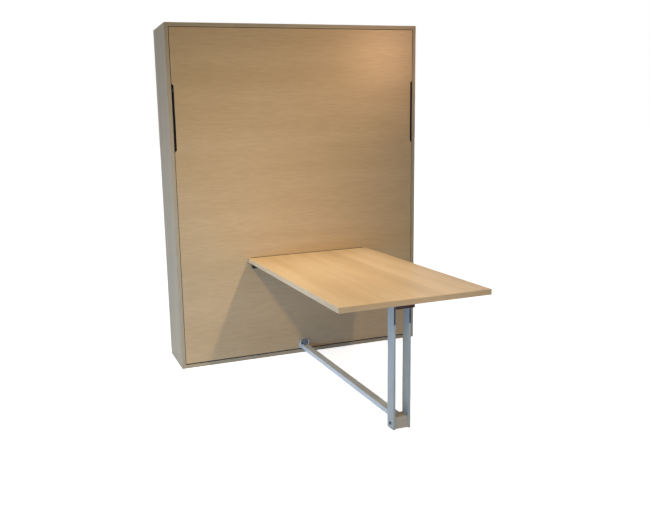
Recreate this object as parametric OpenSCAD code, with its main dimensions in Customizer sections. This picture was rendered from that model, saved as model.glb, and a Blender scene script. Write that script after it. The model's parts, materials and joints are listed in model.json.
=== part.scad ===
// Wall bed with a fold down desk.
// The cabinet stands against a wall. The bed tilts out of it about two pins near the floor, and its
// underside is the cabinet's front. A desk is hinged to that front, and a link bar keeps the desk's
// leg parallel to the front, so the desk stays level and folds flat against the bed as it opens.
// X runs to the right, Y towards the wall and Z up. The origin is the middle of the cabinet's underside.

/* [Mattress] */
// Width of the mattress
mat_w = 1600; // [1400:10:1800]
// Length of the mattress
mat_l = 2000; // [1900:10:2200]
// Thickness of the mattress over its crowned faces
mat_t = 180; // [140:5:220]
// How far each face of the mattress is crowned
mat_crown = 12; // [4:1:20]
// How far the sides of the mattress are drawn in
mat_draw = 7; // [2:1:12]
// Corner radius of the mattress seen from above
mat_corner = 60; // [40:5:100]

/* [Cabinet] */
// Thickness of the side, top and bottom panels
board_t = 25; // [18:1:30]
// Thickness of the rear rails and the headboard
rear_t = 18; // [15:1:22]
// Room between the swinging mattress and the rear boards
rear_clear = 11.3; // [5:0.1:30]
// Room in the cabinet above the foot of the mattress
foot_room = 95; // [85:5:150]
// Height of the lower rear rail
rear_low_h = 130; // [80:5:200]
// Height of the upper rear rail
rear_top_h = 200; // [160:5:300]
// Height of the headboard's lower edge above the floor
headboard_z = 520; // [480:10:600]
// Height of the headboard
headboard_h = 800; // [500:10:1000]
// Width of the rear stiles above the headboard, which close the view through the hand slots
stile_w = 120; // [90:5:200]
// Width of the chamfer that eases each edge of a board
ease = 1; // [0.5:0.1:2]
// Diameter of the dowels
dowel_d = 8; // [6:1:10]
// Length of the dowels
dowel_l = 36; // [30:1:45]
// Distance from the front and rear edges to the nearest dowel
dowel_inset = 60; // [40:5:90]
// Width of the steel angles that hold the rear boards
angle_w = 30; // [20:1:40]
// Thickness of those steel angles
angle_t = 2.5; // [2:0.5:4]
// Length of those steel angles
angle_l = 70; // [40:5:90]

/* [Wall bolts] */
// Diameter of the holes for the wall bolts
bolt_hole_d = 9; // [6:0.5:12]
// Distance between the wall bolts along X
bolt_span_x = 1400; // [1000:10:1550]
// Distance between the wall bolts along Z
bolt_span_z = 120; // [60:5:140]

/* [Bed pivot] */
// Height of the bed's pivot above the floor
pivot_z = 320; // [300:5:360]
// Distance of the bed's pivot behind the cabinet's front
pivot_in = 50; // [46:1:60]
// Diameter of the pivot pins
pivot_d = 16; // [12:1:20]
// Wall of the bush round each pivot pin
bush_wall = 2; // [1.5:0.5:3]
// Diameter of the shoulder behind each pivot pin
shoulder_d = 26; // [22:1:32]
// Thickness of the pivot plates on the side panels
pivot_plate_t = 5; // [4:0.5:8]
// Height of the pivot plates above the pivot
pivot_plate_h = 130; // [80:5:180]
// How far the mattress's head end lies below the pivot when the bed is closed
head_drop = 190; // [150:5:200]

/* [Front panel] */
// Thickness of the front panel
panel_t = 20; // [16:1:24]
// Gap between the front panel and each side panel
side_gap = 3; // [2:0.5:5]
// Gap between the front panel and the top panel
top_gap = 3; // [2:0.5:5]
// Clearance between the panel's lower edge and the bottom panel as it swings past
swing_clear = 2.7; // [2:0.1:5]
// Depth of the hand slots in the panel's side edges
slot_w = 13; // [12:0.5:20]
// Length of the hand slots
slot_l = 430; // [400:5:500]
// Height of the upper end of the hand slots
slot_top = 1880; // [1700:10:1950]
// Wall of the liner in each hand slot
liner_t = 1; // [0.8:0.1:1.5]
// Length of the cleat that stops the closed panel
cleat_l = 300; // [100:10:600]

/* [Bed frame] */
// Width of the steel tubes of the bed frame
rail_w = 30; // [25:1:40]
// Depth of the side and centre rails
rail_d = 60; // [50:1:70]
// Depth of the cross rails
cross_d = 40; // [30:1:50]
// Wall of the frame tubes
rail_wall = 2; // [1.5:0.5:3]
// Corner radius of the frame tubes
rail_round = 3; // [3:0.5:5]
// Length of each side rail below the pivot
rail_drop = 255; // [235:5:265]
// Length of each side rail past the foot of the mattress
rail_over = 60; // [45:5:80]
// Number of slats in each of the two columns
slat_count = 14; // [10:1:18]
// Width of a slat
slat_w = 53; // [38:1:70]
// Thickness of a slat
slat_t = 8; // [6:1:10]
// How far the slats' ends lie below the rear faces of the rails
slat_sink = 10; // [4:1:20]
// How far a slat is bowed towards the mattress
slat_camber = 10; // [4:1:14]
// Length of the plastic holder on each end of a slat
holder_l = 26; // [20:1:35]
// Wall of the slat holders
holder_wall = 3; // [2:0.5:4]
// Thickness of the board that the head of the mattress stands on
stop_t = 16; // [12:1:20]
// Distance from the front panel to that board's rear edge
stop_d = 180; // [140:5:200]
// Diameter of the tube of the foot bow
bow_d = 20; // [16:1:25]
// Height of the foot bow over the side rails
bow_h = 130; // [90:5:160]
// Bend radius of the foot bow
bow_bend = 45; // [30:5:60]
// Wall of the foot bow's straight tube
bow_wall = 1.5; // [1:0.25:2.5]
// Length of the plugs that the straight tube is pushed onto
bow_plug_l = 40; // [20:5:60]
// Width of the mattress straps
strap_w = 40; // [25:1:50]
// Thickness of the mattress straps
strap_t = 2; // [1.5:0.5:3]
// Length of the clips between the frame and the front panel
clip_l = 50; // [30:5:80]

/* [Gas struts] */
// Diameter of the strut cylinders
strut_d = 18; // [15:1:22]
// Diameter of the strut rods
rod_d = 8; // [6:1:10]
// Length of the strut cylinders
cyl_l = 420; // [380:5:450]
// Wall of the strut cylinders
cyl_wall = 1.5; // [1:0.25:2.5]
// Length of the closed stretch at each end of a strut cylinder
gland_l = 14; // [10:1:20]
// Length of the pistons
piston_h = 12; // [8:1:16]
// Length of the neck between a strut's eye and its cylinder
eye_neck = 4; // [2:0.5:8]
// How far each side of a strut's eye lies inside the cylinder's side
eye_side = 2; // [1.8:0.1:4]
// Thickness of the round base of the upper studs
stud_base = 4; // [3:0.5:6]
// Thickness of the heads that keep the struts on their studs
stud_head = 1.5; // [1:0.1:1.7]
// Distance of the upper studs behind the cabinet's front
stud_in = 230; // [200:5:260]
// Height of the upper studs above the bed's pivot
stud_rise = 640; // [600:5:700]
// Diameter of the studs
stud_d = 10; // [8:1:12]
// How far the crank arm reaches behind the pivot
crank_back = 60; // [50:1:75]
// How far the crank arm reaches below the pivot
crank_down = 150; // [120:5:160]
// Thickness of the crank plates
crank_t = 6; // [5:0.5:8]
// Height of the crank plate on the side rail above the pivot
crank_up = 150; // [100:5:200]

/* [Support legs] */
// Width of a support leg
support_w = 35; // [25:1:40]
// Thickness of a support leg
support_t = 9; // [7:0.5:9]
// Distance from the upper end of the hand slot to the support leg's pivot
support_inset = 40; // [30:1:60]
// Diameter of the support leg's pivot pin
support_pin_d = 12; // [10:1:16]
// Height of the rubber foot under a support leg
support_foot_h = 12; // [8:1:20]

/* [Desk] */
// Width of the tabletop
desk_w = 882; // [700:2:1100]
// Length of the tabletop from the front panel to its front edge
desk_l = 1422; // [1380:2:1450]
// Height of the tabletop's upper face above the floor
desk_h = 720; // [680:5:760]
// Thickness of the tabletop
desk_t = 30; // [25:1:36]
// Distance of the tabletop's middle to the right of the cabinet's middle
desk_x = 47; // [-100:1:150]
// Gap between the tabletop and the front panel, which holds the hinge
hinge_gap = 3; // [2.6:0.1:4]
// Diameter of the hinge's pin
hinge_pin_d = 1.6; // [1.2:0.1:1.8]
// Number of knuckles along the hinge
knuckles = 15; // [9:2:25]
// Distance from the tabletop's side edges to the ends of the hinge and its batten
hinge_inset = 22; // [10:1:60]
// Height of the batten under the tabletop's rear edge
batten_h = 40; // [30:1:60]
// Depth of the batten
batten_d = 24; // [15:1:30]

/* [Desk leg] */
// Distance of the leg's middle to the right of the cabinet's middle
leg_x = -4; // [-50:1:50]
// Width of one leg tube
leg_w = 13; // [12.5:0.5:20]
// Depth of the leg tubes
leg_d = 64; // [60:1:68]
// Clear width between the two leg tubes
leg_gap = 76; // [66:1:80]
// Wall of the leg tubes
leg_wall = 1.5; // [1.2:0.1:1.7]
// Corner radius of the leg tubes
leg_round = 2.5; // [2.1:0.1:4]
// Distance of the leg's middle in front of the cabinet
leg_out = 1330; // [1280:5:1350]
// Height of the foot pivot above the floor
foot_pivot_z = 28; // [26:1:34]
// Distance of the leg's upper pivot below the tabletop
top_pivot_drop = 27; // [27:0.5:32]
// Diameter of the bolts at the leg's upper pivot
top_bolt_d = 10; // [8:1:12]
// Diameter of the bolts at the ends of the link bar
bar_bolt_d = 10; // [8:1:12]
// Width of the bracket's plate under the tabletop
bracket_w = 130; // [116:2:200]
// Length of that plate
bracket_l = 110; // [90:2:130]
// Thickness of that plate
bracket_t = 5; // [4:0.5:5]
// Length of the bracket's tongues, which turn inside the leg tubes
tongue_l = 114; // [90:2:130]
// Thickness of the tongues
tongue_t = 7; // [5:0.5:7.5]
// Distance from the upper pivot to the front edges of the tongues
tongue_front = 41; // [25:1:43]
// Width of the batten under the tabletop in front of the leg
leg_batten_w = 108; // [80:2:160]
// Height of that batten
leg_batten_h = 27; // [20:1:40]
// Height of the sliding feet under the leg tubes
glide_h = 3; // [2:0.5:5]

/* [Link bar] */
// Width of the link bar
bar_w = 46; // [40:1:54]
// Height of the link bar
bar_h = 30; // [25:1:35]
// Wall of the link bar
bar_wall = 2; // [1.5:0.5:3]
// Corner radius of the link bar
bar_round = 3; // [2.2:0.1:5]
// Clearance between the link bar and the bottom panel as it swings past
bar_clear = 3.2; // [2:0.1:6]
// Radius of the hub at the bar's rear end, and of the clevis's ears
hub_r = 10.5; // [9.5:0.5:12]
// Width of the lug that carries that hub
lug_w = 20; // [14:1:30]
// Length of the block at the bar's front end
block_l = 60; // [50:1:62]
// Radius of the round front edge on top of that block
block_r = 15; // [8:1:20]
// Length of the plugs that hold the bar on its end pieces
bar_plug_l = 45; // [30:1:60]
// Clear width between the clevis's ears
clevis_gap = 54; // [48:1:64]
// Thickness of the clevis's ears
clevis_t = 6; // [5:0.5:8]
// Thickness of the clevis's base plate
clevis_base = 3; // [2:0.5:4]
// Length of the clevis below its bolt
clevis_drop = 46; // [38:1:50]

/* [Fits] */
// Gap between pieces that seat on each other but move apart
seat_gap = 0.3; // [0.2:0.05:0.5]
// Radial clearance of a pin in its bore
run_gap = 0.05; // [0.02:0.01:0.1]
// Gap between flat pieces that swing past each other
pass_gap = 1; // [0.6:0.1:1.2]
// Room between each gas strut and the crank plate beside it
strut_side = 2; // [1.5:0.5:4]
// Room between each gas strut and the pivot plate on its other side
strut_room = 1.5; // [1:0.5:4]
// Room between the front panel and the pivot plates behind it
plate_room = 2; // [1.5:0.5:4]
// Gap round a slat's end in its holder
slat_slack = 0.3; // [0.1:0.1:0.6]

/* [Hidden] */
$fn = 48;

// Bed pivot, and the radius that the mattress's head corner sweeps about it
slat_y = panel_t + rail_d - slat_sink;
mat_y = slat_y + slat_t + slat_camber + seat_gap;
mat_z = pivot_z - head_drop;
mat_sweep = norm([mat_y + mat_t - pivot_in, head_drop]);

// Widths: the side room holds the rail, the crank plate, the strut and the pivot plate
side_room = rail_w + crank_t + strut_side + strut_d + strut_room + pivot_plate_t;
inner_w = mat_w + 2 * side_room;
rail_x = mat_w / 2;
crank_x = rail_x + rail_w;
strut_x = crank_x + crank_t + strut_side + strut_d / 2;

// Cabinet, with the front plane at front_y and the wall at wall_y
cab_d = pivot_in + mat_sweep + rear_clear + rear_t;
cab_h = mat_z + mat_l + foot_room + board_t;
front_y = -cab_d / 2;
wall_y = cab_d / 2;
pivot_y = front_y + pivot_in;
inner_top = cab_h - board_t;

// Front panel, whose lower edge swings past the bottom panel
panel_w = inner_w - 2 * side_gap;
panel_z0 = pivot_z - sqrt(pow(pivot_z - board_t - swing_clear, 2) - pow(pivot_in, 2));
panel_z1 = inner_top - top_gap;

// Bed frame
rail_z0 = pivot_z - rail_drop;
rail_z1 = mat_z + mat_l + rail_over;
frame_y = front_y + panel_t;
head_rail_z = mat_z - stop_t - rail_w;
slat_pitch = mat_l / slat_count;
slat_x0 = rail_w / 2 + holder_wall;
slat_x1 = rail_x - holder_wall;

// Gas struts: upper stud and lower end, and the line between them
stud_y = front_y + stud_in;
stud_z = pivot_z + stud_rise;
low_y = pivot_y + crank_back;
low_z = pivot_z - crank_down;
strut_l = norm([stud_y - low_y, stud_z - low_z]);
strut_lean = atan2(stud_y - low_y, stud_z - low_z);
eye_r = stud_d;
eye_w = strut_d - 2 * eye_side;
cyl_top = -eye_r - eye_neck;
cyl_bottom = cyl_top - cyl_l;
cyl_bore_r = strut_d / 2 - cyl_wall;

// Support legs, which pass through the hand slots
support_x = panel_w / 2 - slot_w + liner_t + pass_gap;
support_z = slot_top - support_inset;

// Desk linkage: table hinge, bar hinge, upper leg pivot and foot pivot form a parallelogram
hinge_y = front_y - hinge_gap / 2;
hinge_z = desk_h + hinge_gap / 2;
foot_y = front_y - leg_out;
bar_y = front_y - hub_r - clevis_base - pass_gap;
top_y = foot_y + hinge_y - bar_y;
top_z = desk_h - desk_t - top_pivot_drop;
bar_z = foot_pivot_z + hinge_z - top_z;
link_drop = norm([bar_y - pivot_y, bar_z - pivot_z]) - (pivot_z - bar_z);
bar_z0 = board_t + bar_clear + link_drop;
bar_y1 = bar_y + hub_r * 0.8;
leg_top_r = top_pivot_drop - bracket_t - pass_gap;
leg_front = top_y - foot_y + leg_d / 2;
tongue_rear = leg_d - leg_front - leg_wall - seat_gap;
tongue_z = desk_h - desk_t - tongue_l;
leg_batten_y = top_y - norm([leg_front, leg_top_r]) - pass_gap - batten_d;
hinge_l = desk_w - 2 * hinge_inset;
hinge_x0 = desk_x - hinge_l / 2;
knuckle_l = hinge_l / knuckles;
leaf_t = hinge_gap / 2 - 0.2;

wood = "#c09b6c";
pale_wood = "#d9b88a";
carcass_wood = "#a3927b";
steel = "#9aa6ac";
dark_steel = "#3c3d3f";
black_plastic = "#1d1e20";
white_cloth = "#e9e6df";

// ---------- shared shapes ----------

// Mirrors what it holds to the left-hand side
module on_side(side) {
    if (side == "left") {
        mirror([1, 0, 0]) children();
    } else {
        children();
    }
}

// Extrudes a profile drawn in Y and Z along X, from x0 over a width
module across(x0, width) {
    translate([x0, 0, 0])
        rotate([90, 0, 90])
            linear_extrude(height = width) children();
}

// A round bar along X
module x_rod(x0, width, radius, y, z) {
    translate([x0, y, z])
        rotate([0, 90, 0])
            cylinder(h = width, r = radius);
}

// A rectangle with chamfered corners
module eased_rect(size, c) {
    polygon([
        [c, 0], [size[0] - c, 0], [size[0], c], [size[0], size[1] - c],
        [size[0] - c, size[1]], [c, size[1]], [0, size[1] - c], [0, c]
    ]);
}

// A board with every edge eased
module eased_board(size, c) {
    intersection() {
        linear_extrude(height = size[2]) eased_rect([size[0], size[1]], c);
        translate([0, size[1], 0])
            rotate([90, 0, 0])
                linear_extrude(height = size[1]) eased_rect([size[0], size[2]], c);
        across(0, size[0]) eased_rect([size[1], size[2]], c);
    }
}

// A rectangle with round corners, centred on the origin
module round_rect(size, r) {
    square([size[0] - 2 * r, size[1]], center = true);
    square([size[0], size[1] - 2 * r], center = true);
    for (sx = [-1, 1], sy = [-1, 1]) {
        translate([sx * (size[0] / 2 - r), sy * (size[1] / 2 - r)]) circle(r = r);
    }
}

// The section of a rectangular tube with round corners
module tube_section(size, wall, r) {
    difference() {
        round_rect(size, r);
        square([size[0] - 2 * wall, size[1] - 2 * wall], center = true);
    }
}

// A plate outline round two centres, with straight tangent sides
module link_outline(a, ra, b, rb) {
    span = norm(b - a);
    along = (b - a) / span;
    side = [-along[1], along[0]];
    lean = (ra - rb) / span;
    reach = sqrt(1 - lean * lean);
    left = along * lean + side * reach;
    right = along * lean - side * reach;
    translate(a) circle(r = ra);
    translate(b) circle(r = rb);
    polygon([a + left * ra, a + right * ra, b + right * rb, b + left * rb]);
}

// A bolt along X with a low head at each end and a hexagon socket in each head
module pivot_bolt(x0, x1, d, y, z) {
    head_h = d * 0.28;
    head_r = d * 0.85;
    difference() {
        union() {
            x_rod(x0 - head_h / 2, x1 - x0 + head_h, d / 2, y, z);
            x_rod(x0 - head_h, head_h, head_r, y, z);
            x_rod(x1, head_h, head_r, y, z);
        }
        for (x = [x0 - head_h, x1 + head_h]) {
            translate([x, y, z])
                rotate([0, 90, 0])
                    cylinder(h = head_h, r = d * 0.3, center = true, $fn = 6);
        }
    }
}

// ---------- cabinet ----------

// Dowels between the side panels and the top and bottom panels
module dowels(radius, side) {
    for (y = [front_y + dowel_inset, 0, wall_y - dowel_inset], z = [board_t / 2, cab_h - board_t / 2]) {
        x_rod(side * inner_w / 2 - dowel_l / 2, dowel_l, radius, y, z);
    }
}

module side_panel(side) {
    color(carcass_wood) on_side(side)
        difference() {
            translate([inner_w / 2, front_y, 0]) eased_board([board_t, cab_d, cab_h], ease);
            dowels(dowel_d / 2, 1);
        }
}

// A board between the side panels, at height z
module shelf_board(z) {
    difference() {
        translate([-inner_w / 2, front_y, z]) eased_board([inner_w, cab_d, board_t], ease);
        dowels(dowel_d / 2, 1);
        dowels(dowel_d / 2, -1);
    }
}

module top_panel() {
    color(carcass_wood) shelf_board(inner_top);
}

module bottom_panel() {
    color(carcass_wood) shelf_board(0);
}

module carcass_dowels() {
    color(pale_wood) {
        dowels(dowel_d / 2, 1);
        dowels(dowel_d / 2, -1);
    }
}

// A board at the rear, between the side panels
module rear_board(z, height) {
    translate([-inner_w / 2, wall_y - rear_t, z]) eased_board([inner_w, rear_t, height], ease);
}

module rear_bottom_rail() {
    color(carcass_wood) rear_board(board_t, rear_low_h);
}

module headboard_panel() {
    color(carcass_wood) rear_board(headboard_z, headboard_h);
}

// The boards at the sides of the rear, between the headboard and the upper rear rail
module rear_stiles() {
    z0 = headboard_z + headboard_h;
    color(carcass_wood)
        for (side = ["left", "right"]) {
            on_side(side)
                translate([inner_w / 2 - stile_w, wall_y - rear_t, z0])
                    eased_board([stile_w, rear_t, inner_top - rear_top_h - z0], ease);
        }
}

// The upper rear rail, drilled for the four wall bolts
module rear_top_rail() {
    z = inner_top - rear_top_h;
    color(carcass_wood)
        difference() {
            rear_board(z, rear_top_h);
            for (sx = [-1, 1], sz = [-1, 1]) {
                translate([sx * bolt_span_x / 2, wall_y + 1, z + rear_top_h / 2 + sz * bolt_span_z / 2])
                    rotate([90, 0, 0])
                        cylinder(h = rear_t + 2, d = bolt_hole_d);
            }
        }
}

// Steel angles that tie the rear boards to the side panels
module rear_angles() {
    rear_face = wall_y - rear_t;
    heights = [
        board_t + rear_low_h / 2, headboard_z + headboard_h / 2, inner_top - rear_top_h / 2
    ];
    color(steel)
        for (side = ["left", "right"], z = heights) {
            on_side(side)
                translate([inner_w / 2, rear_face, z - angle_l / 2]) {
                    translate([-angle_w, -angle_t, 0]) cube([angle_w, angle_t, angle_l]);
                    translate([-angle_t, -angle_w, 0]) cube([angle_t, angle_w, angle_l]);
                }
        }
}

// The cleat behind the upper edge of the closed front panel
module stop_cleat() {
    color(carcass_wood)
        translate([-cleat_l / 2, frame_y + seat_gap, inner_top - board_t])
            eased_board([cleat_l, board_t, board_t], ease);
}

// A steel plate on the side panel, which carries the pivot pin
module pivot_plate(side) {
    plate_r = pivot_in - panel_t - plate_room;
    plate_x = inner_w / 2 - pivot_plate_t;
    shoulder_x = crank_x + crank_t + pass_gap;
    pin_x = crank_x + seat_gap;
    color(steel) on_side(side) {
        across(plate_x, pivot_plate_t) {
            translate([pivot_y, pivot_z]) circle(r = plate_r);
            translate([pivot_y - plate_r, pivot_z]) square([2 * plate_r, pivot_plate_h]);
        }
        x_rod(shoulder_x, inner_w / 2 - shoulder_x, shoulder_d / 2, pivot_y, pivot_z);
        x_rod(pin_x, inner_w / 2 - pin_x, pivot_d / 2, pivot_y, pivot_z);
    }
}

// The studs that carry the upper ends of the gas struts
module strut_studs() {
    base_x = inner_w / 2 - stud_base;
    head_x = strut_x - strut_d / 2;
    color(steel)
        for (side = ["left", "right"]) {
            on_side(side) {
                x_rod(base_x, stud_base, stud_d * 2, stud_y, stud_z);
                x_rod(head_x, inner_w / 2 - head_x, stud_d / 2, stud_y, stud_z);
                x_rod(head_x, stud_head, stud_d * 0.7, stud_y, stud_z);
            }
        }
}

// ---------- bed front and frame ----------

// Outline of a hand slot at the right-hand edge of the front panel, drawn smaller by a margin
module slot_outline(margin, overrun) {
    x1 = panel_w / 2 + overrun;
    x0 = panel_w / 2 - slot_w + margin;
    z0 = slot_top - slot_l + margin * sqrt(2);
    z1 = slot_top - margin * sqrt(2);
    run = x1 - x0 - overrun;
    polygon([
        [x1, z0], [x0 + run, z0], [x0, z0 + run], [x0, z1 - run], [x0 + run, z1], [x1, z1]
    ]);
}

// Extrudes a profile drawn in X and Z through the thickness of the front panel
module through_panel(over) {
    translate([0, front_y + panel_t + over, 0])
        rotate([90, 0, 0])
            linear_extrude(height = panel_t + 2 * over) children();
}

module front_panel() {
    color(wood)
        difference() {
            translate([-panel_w / 2, front_y, panel_z0])
                eased_board([panel_w, panel_t, panel_z1 - panel_z0], ease);
            for (side = ["left", "right"]) {
                on_side(side) through_panel(1) slot_outline(0, 2);
            }
        }
}

// Black plastic liners in the hand slots
module grip_liners() {
    color(black_plastic)
        for (side = ["left", "right"]) {
            on_side(side)
                through_panel(0)
                    difference() {
                        slot_outline(0, 0);
                        slot_outline(liner_t, 1);
                    }
        }
}

// A frame tube that runs up behind the front panel
module upright_rail(x, z0, z1) {
    translate([x, frame_y + rail_d / 2, z0])
        linear_extrude(height = z1 - z0) tube_section([rail_w, rail_d], rail_wall, rail_round);
}

// A frame tube that runs across between the side rails
module cross_rail(z) {
    translate([-rail_x, frame_y + cross_d / 2, z + rail_w / 2])
        rotate([90, 0, 90])
            linear_extrude(height = 2 * rail_x) tube_section([cross_d, rail_w], rail_wall, rail_round);
}

module side_rail(side) {
    color(dark_steel) on_side(side) upright_rail(rail_x + rail_w / 2, rail_z0, rail_z1);
}

module head_rail() {
    color(dark_steel) cross_rail(head_rail_z);
}

module foot_rail() {
    color(dark_steel) cross_rail(rail_z1 - rail_w);
}

module centre_rail() {
    color(dark_steel) upright_rail(0, head_rail_z + rail_w, rail_z1 - rail_w);
}

// Plastic plugs in the open ends of the side rails
module rail_end_plugs() {
    plug_h = 12;
    lip_h = 3;
    color(black_plastic)
        for (side = ["left", "right"]) {
            on_side(side)
                translate([rail_x + rail_w / 2, frame_y + rail_d / 2, 0]) {
                    translate([0, 0, rail_z0 - lip_h])
                        linear_extrude(height = lip_h) round_rect([rail_w, rail_d], rail_round);
                    translate([-rail_w / 2 + rail_wall, -rail_d / 2 + rail_wall, rail_z0 - lip_h / 2])
                        cube([rail_w - 2 * rail_wall, rail_d - 2 * rail_wall, plug_h + lip_h / 2]);
                    translate([0, 0, rail_z1])
                        linear_extrude(height = lip_h) round_rect([rail_w, rail_d], rail_round);
                    translate([-rail_w / 2 + rail_wall, -rail_d / 2 + rail_wall, rail_z1 - plug_h])
                        cube([rail_w - 2 * rail_wall, rail_d - 2 * rail_wall, plug_h + lip_h / 2]);
                }
        }
}

// Steel clips that fasten the front panel to the side rails
module panel_clips() {
    color(steel)
        for (side = ["left", "right"], i = [0:3]) {
            z = mat_z + mat_l * (i + 0.5) / 4 + slat_pitch / 4;
            on_side(side)
                translate([rail_x, frame_y, z]) {
                    translate([-angle_w, 0, 0]) cube([angle_w, angle_t, clip_l]);
                    translate([-angle_t, 0, 0]) cube([angle_t, angle_w, clip_l]);
                }
        }
}

// A plate on the side rail, with the bore for the pivot and the arm for the gas strut
module crank_plate(side) {
    edge = 2;
    color(steel) on_side(side)
        difference() {
            across(crank_x, crank_t) {
                link_outline([pivot_y, pivot_z], rail_d / 2 - edge, [low_y, low_z], stud_d * 1.6);
                translate([frame_y + edge, pivot_z]) square([rail_d - 2 * edge, crank_up]);
            }
            x_rod(crank_x - 1, crank_t + 2, pivot_d / 2 + run_gap + bush_wall, pivot_y, pivot_z);
        }
}

// Nylon bushes between the pivot pins and the crank plates
module pivot_bushes() {
    bore_r = pivot_d / 2 + run_gap;
    flange_t = pass_gap - seat_gap;
    color(white_cloth)
        for (side = ["left", "right"]) {
            on_side(side)
                difference() {
                    union() {
                        x_rod(crank_x, crank_t, bore_r + bush_wall, pivot_y, pivot_z);
                        x_rod(crank_x + crank_t, flange_t, shoulder_d / 2, pivot_y, pivot_z);
                    }
                    x_rod(crank_x - 1, crank_t + flange_t + 2, bore_r, pivot_y, pivot_z);
                }
        }
}

// Outline of one bowed slat in X and Y
module slat_outline(steps) {
    span = slat_x1 - slat_x0;
    low = [for (i = [0:steps]) [slat_x0 + span * i / steps, slat_camber * sin(180 * i / steps)]];
    high = [for (i = [steps:-1:0]) low[i] + [0, slat_t]];
    polygon(concat(low, high));
}

// Height of slat number i
function slat_z(i) = mat_z + slat_pitch * (i + 0.5);

module slats(side) {
    color(pale_wood) on_side(side)
        for (i = [0:slat_count - 1]) {
            translate([0, front_y + slat_y, slat_z(i) - slat_w / 2])
                linear_extrude(height = slat_w) slat_outline(12);
        }
}

// Plastic holders that carry the slats' ends on the side and centre rails
module slat_holders() {
    height = slat_w + 2 * holder_wall;
    rise = slat_camber * sin(180 * holder_l / (slat_x1 - slat_x0));
    pocket = [
        holder_l - holder_wall + slat_slack + 1, slat_t + rise + 2 * slat_slack, slat_w + 2 * slat_slack
    ];
    depth = pocket[1] + 2 * holder_wall;
    color(black_plastic)
        for (side = ["left", "right"], i = [0:slat_count - 1], inner = [0, 1]) {
            x0 = inner == 1 ? rail_w / 2 : rail_x - holder_l;
            cut_x = inner == 1 ? x0 + holder_wall - slat_slack : x0 - 1;
            on_side(side)
                translate([0, front_y + slat_y - slat_slack, slat_z(i)])
                    difference() {
                        translate([x0, -holder_wall, -height / 2]) cube([holder_l, depth, height]);
                        translate([cut_x, 0, -pocket[2] / 2]) cube(pocket);
                    }
        }
}

// The board that the head of the mattress stands on, notched round the centre rail
module head_stop_board() {
    notch_w = rail_w + 2 * pass_gap;
    width = 2 * rail_x - 2 * pass_gap;
    color(carcass_wood)
        difference() {
            translate([-width / 2, frame_y, mat_z - stop_t]) eased_board([width, stop_d, stop_t], ease);
            translate([-notch_w / 2, frame_y - 1, mat_z - stop_t - 1])
                cube([notch_w, rail_d + pass_gap + 1, stop_t + 2]);
        }
}

// A bow over the foot of the mattress: a straight tube, pushed onto the plugs of two bent arms
module foot_bow() {
    x = rail_x + rail_w / 2;
    y0 = frame_y + rail_d;
    z = mat_z + mat_l + 2 * seat_gap + bow_d / 2;
    bend_x = x - bow_bend;
    tube_x = bend_x - seat_gap;
    bore_r = bow_d / 2 - bow_wall;
    plug_root = bow_d / 4;
    color(dark_steel)
        translate([0, 0, z]) {
            for (end = [0, 1]) {
                dir = 1 - 2 * end;
                plug_x = end == 0 ? bend_x - bow_plug_l : -bend_x - plug_root;
                translate([dir * x, y0, 0])
                    rotate([-90, 0, 0])
                        cylinder(h = bow_h - bow_bend, d = bow_d);
                translate([dir * bend_x, y0 + bow_h - bow_bend, 0])
                    rotate([0, 0, 90 * end])
                        rotate_extrude(angle = 90)
                            translate([bow_bend, 0]) circle(d = bow_d);
                x_rod(plug_x, bow_plug_l + plug_root, bore_r - seat_gap, y0 + bow_h, 0);
            }
            difference() {
                x_rod(-tube_x, 2 * tube_x, bow_d / 2, y0 + bow_h, 0);
                x_rod(-tube_x - 1, 2 * tube_x + 2, bore_r, y0 + bow_h, 0);
            }
        }
}

// One ring of points of the mattress, in X and Z about its middle
function mat_ring(inset, pull) =
    let (
        r = max(mat_corner - inset, mat_corner * 0.1),
        hw = mat_w / 2 - inset - r,
        hl = mat_l / 2 - inset - r
    )
    [for (q = [0:3], j = [0:7])
        let (
            here = [(q == 0 || q == 3 ? 1 : -1) * hw, (q < 2 ? 1 : -1) * hl],
            next = [(q < 2 ? -1 : 1) * hw, (q == 0 || q == 3 ? 1 : -1) * hl],
            out = [cos(90 * q + 90), sin(90 * q + 90)],
            t = (j - 4) / 4
        )
        j < 5
            ? here + r * [cos(90 * q + 22.5 * j), sin(90 * q + 22.5 * j)]
            : here + (next - here) * t + out * (r - pull * sin(180 * t))];

// The mattress: crowned faces, a border that is drawn in between two rolled edges
module mattress() {
    edge = mat_t / 2 - mat_crown;
    half = mat_t / 2;
    rings = [
        [560, half, 0], [300, half - mat_crown * 0.12, 0], [120, half - mat_crown * 0.4, 0],
        [40, half - mat_crown * 0.8, 0], [14, edge, 0], [4, edge - 5, 1], [0, edge - 13, 1],
        [3, edge - 22, 3], [mat_draw, edge * 0.35, mat_draw]
    ];
    count = len(rings);
    upper = [for (ring = rings) [for (p = mat_ring(ring[0], ring[2])) [p[0], ring[1], p[1]]]];
    lower = [for (i = [count - 1:-1:0]) [for (p = upper[i]) [p[0], -p[1], p[2]]]];
    all_rings = concat(upper, lower);
    n = len(all_rings[0]);
    last = len(all_rings) - 1;
    points = concat(
        [for (ring = all_rings) for (p = ring) p],
        [[0, half, 0], [0, -half, 0]]
    );
    first_mid = n * (last + 1);
    walls = [for (k = [0:last - 1], j = [0:n - 1])
        let (a = k * n + j, b = k * n + (j + 1) % n, c = a + n, d = b + n)
        each [[a, b, d], [a, d, c]]];
    cap_up = [for (j = [0:n - 1]) [first_mid, (j + 1) % n, j]];
    cap_down = [for (j = [0:n - 1]) [first_mid + 1, last * n + j, last * n + (j + 1) % n]];
    color(white_cloth)
        translate([0, front_y + mat_y + half, mat_z + seat_gap + mat_l / 2])
            polyhedron(points = points, faces = concat(walls, cap_up, cap_down));
}

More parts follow.
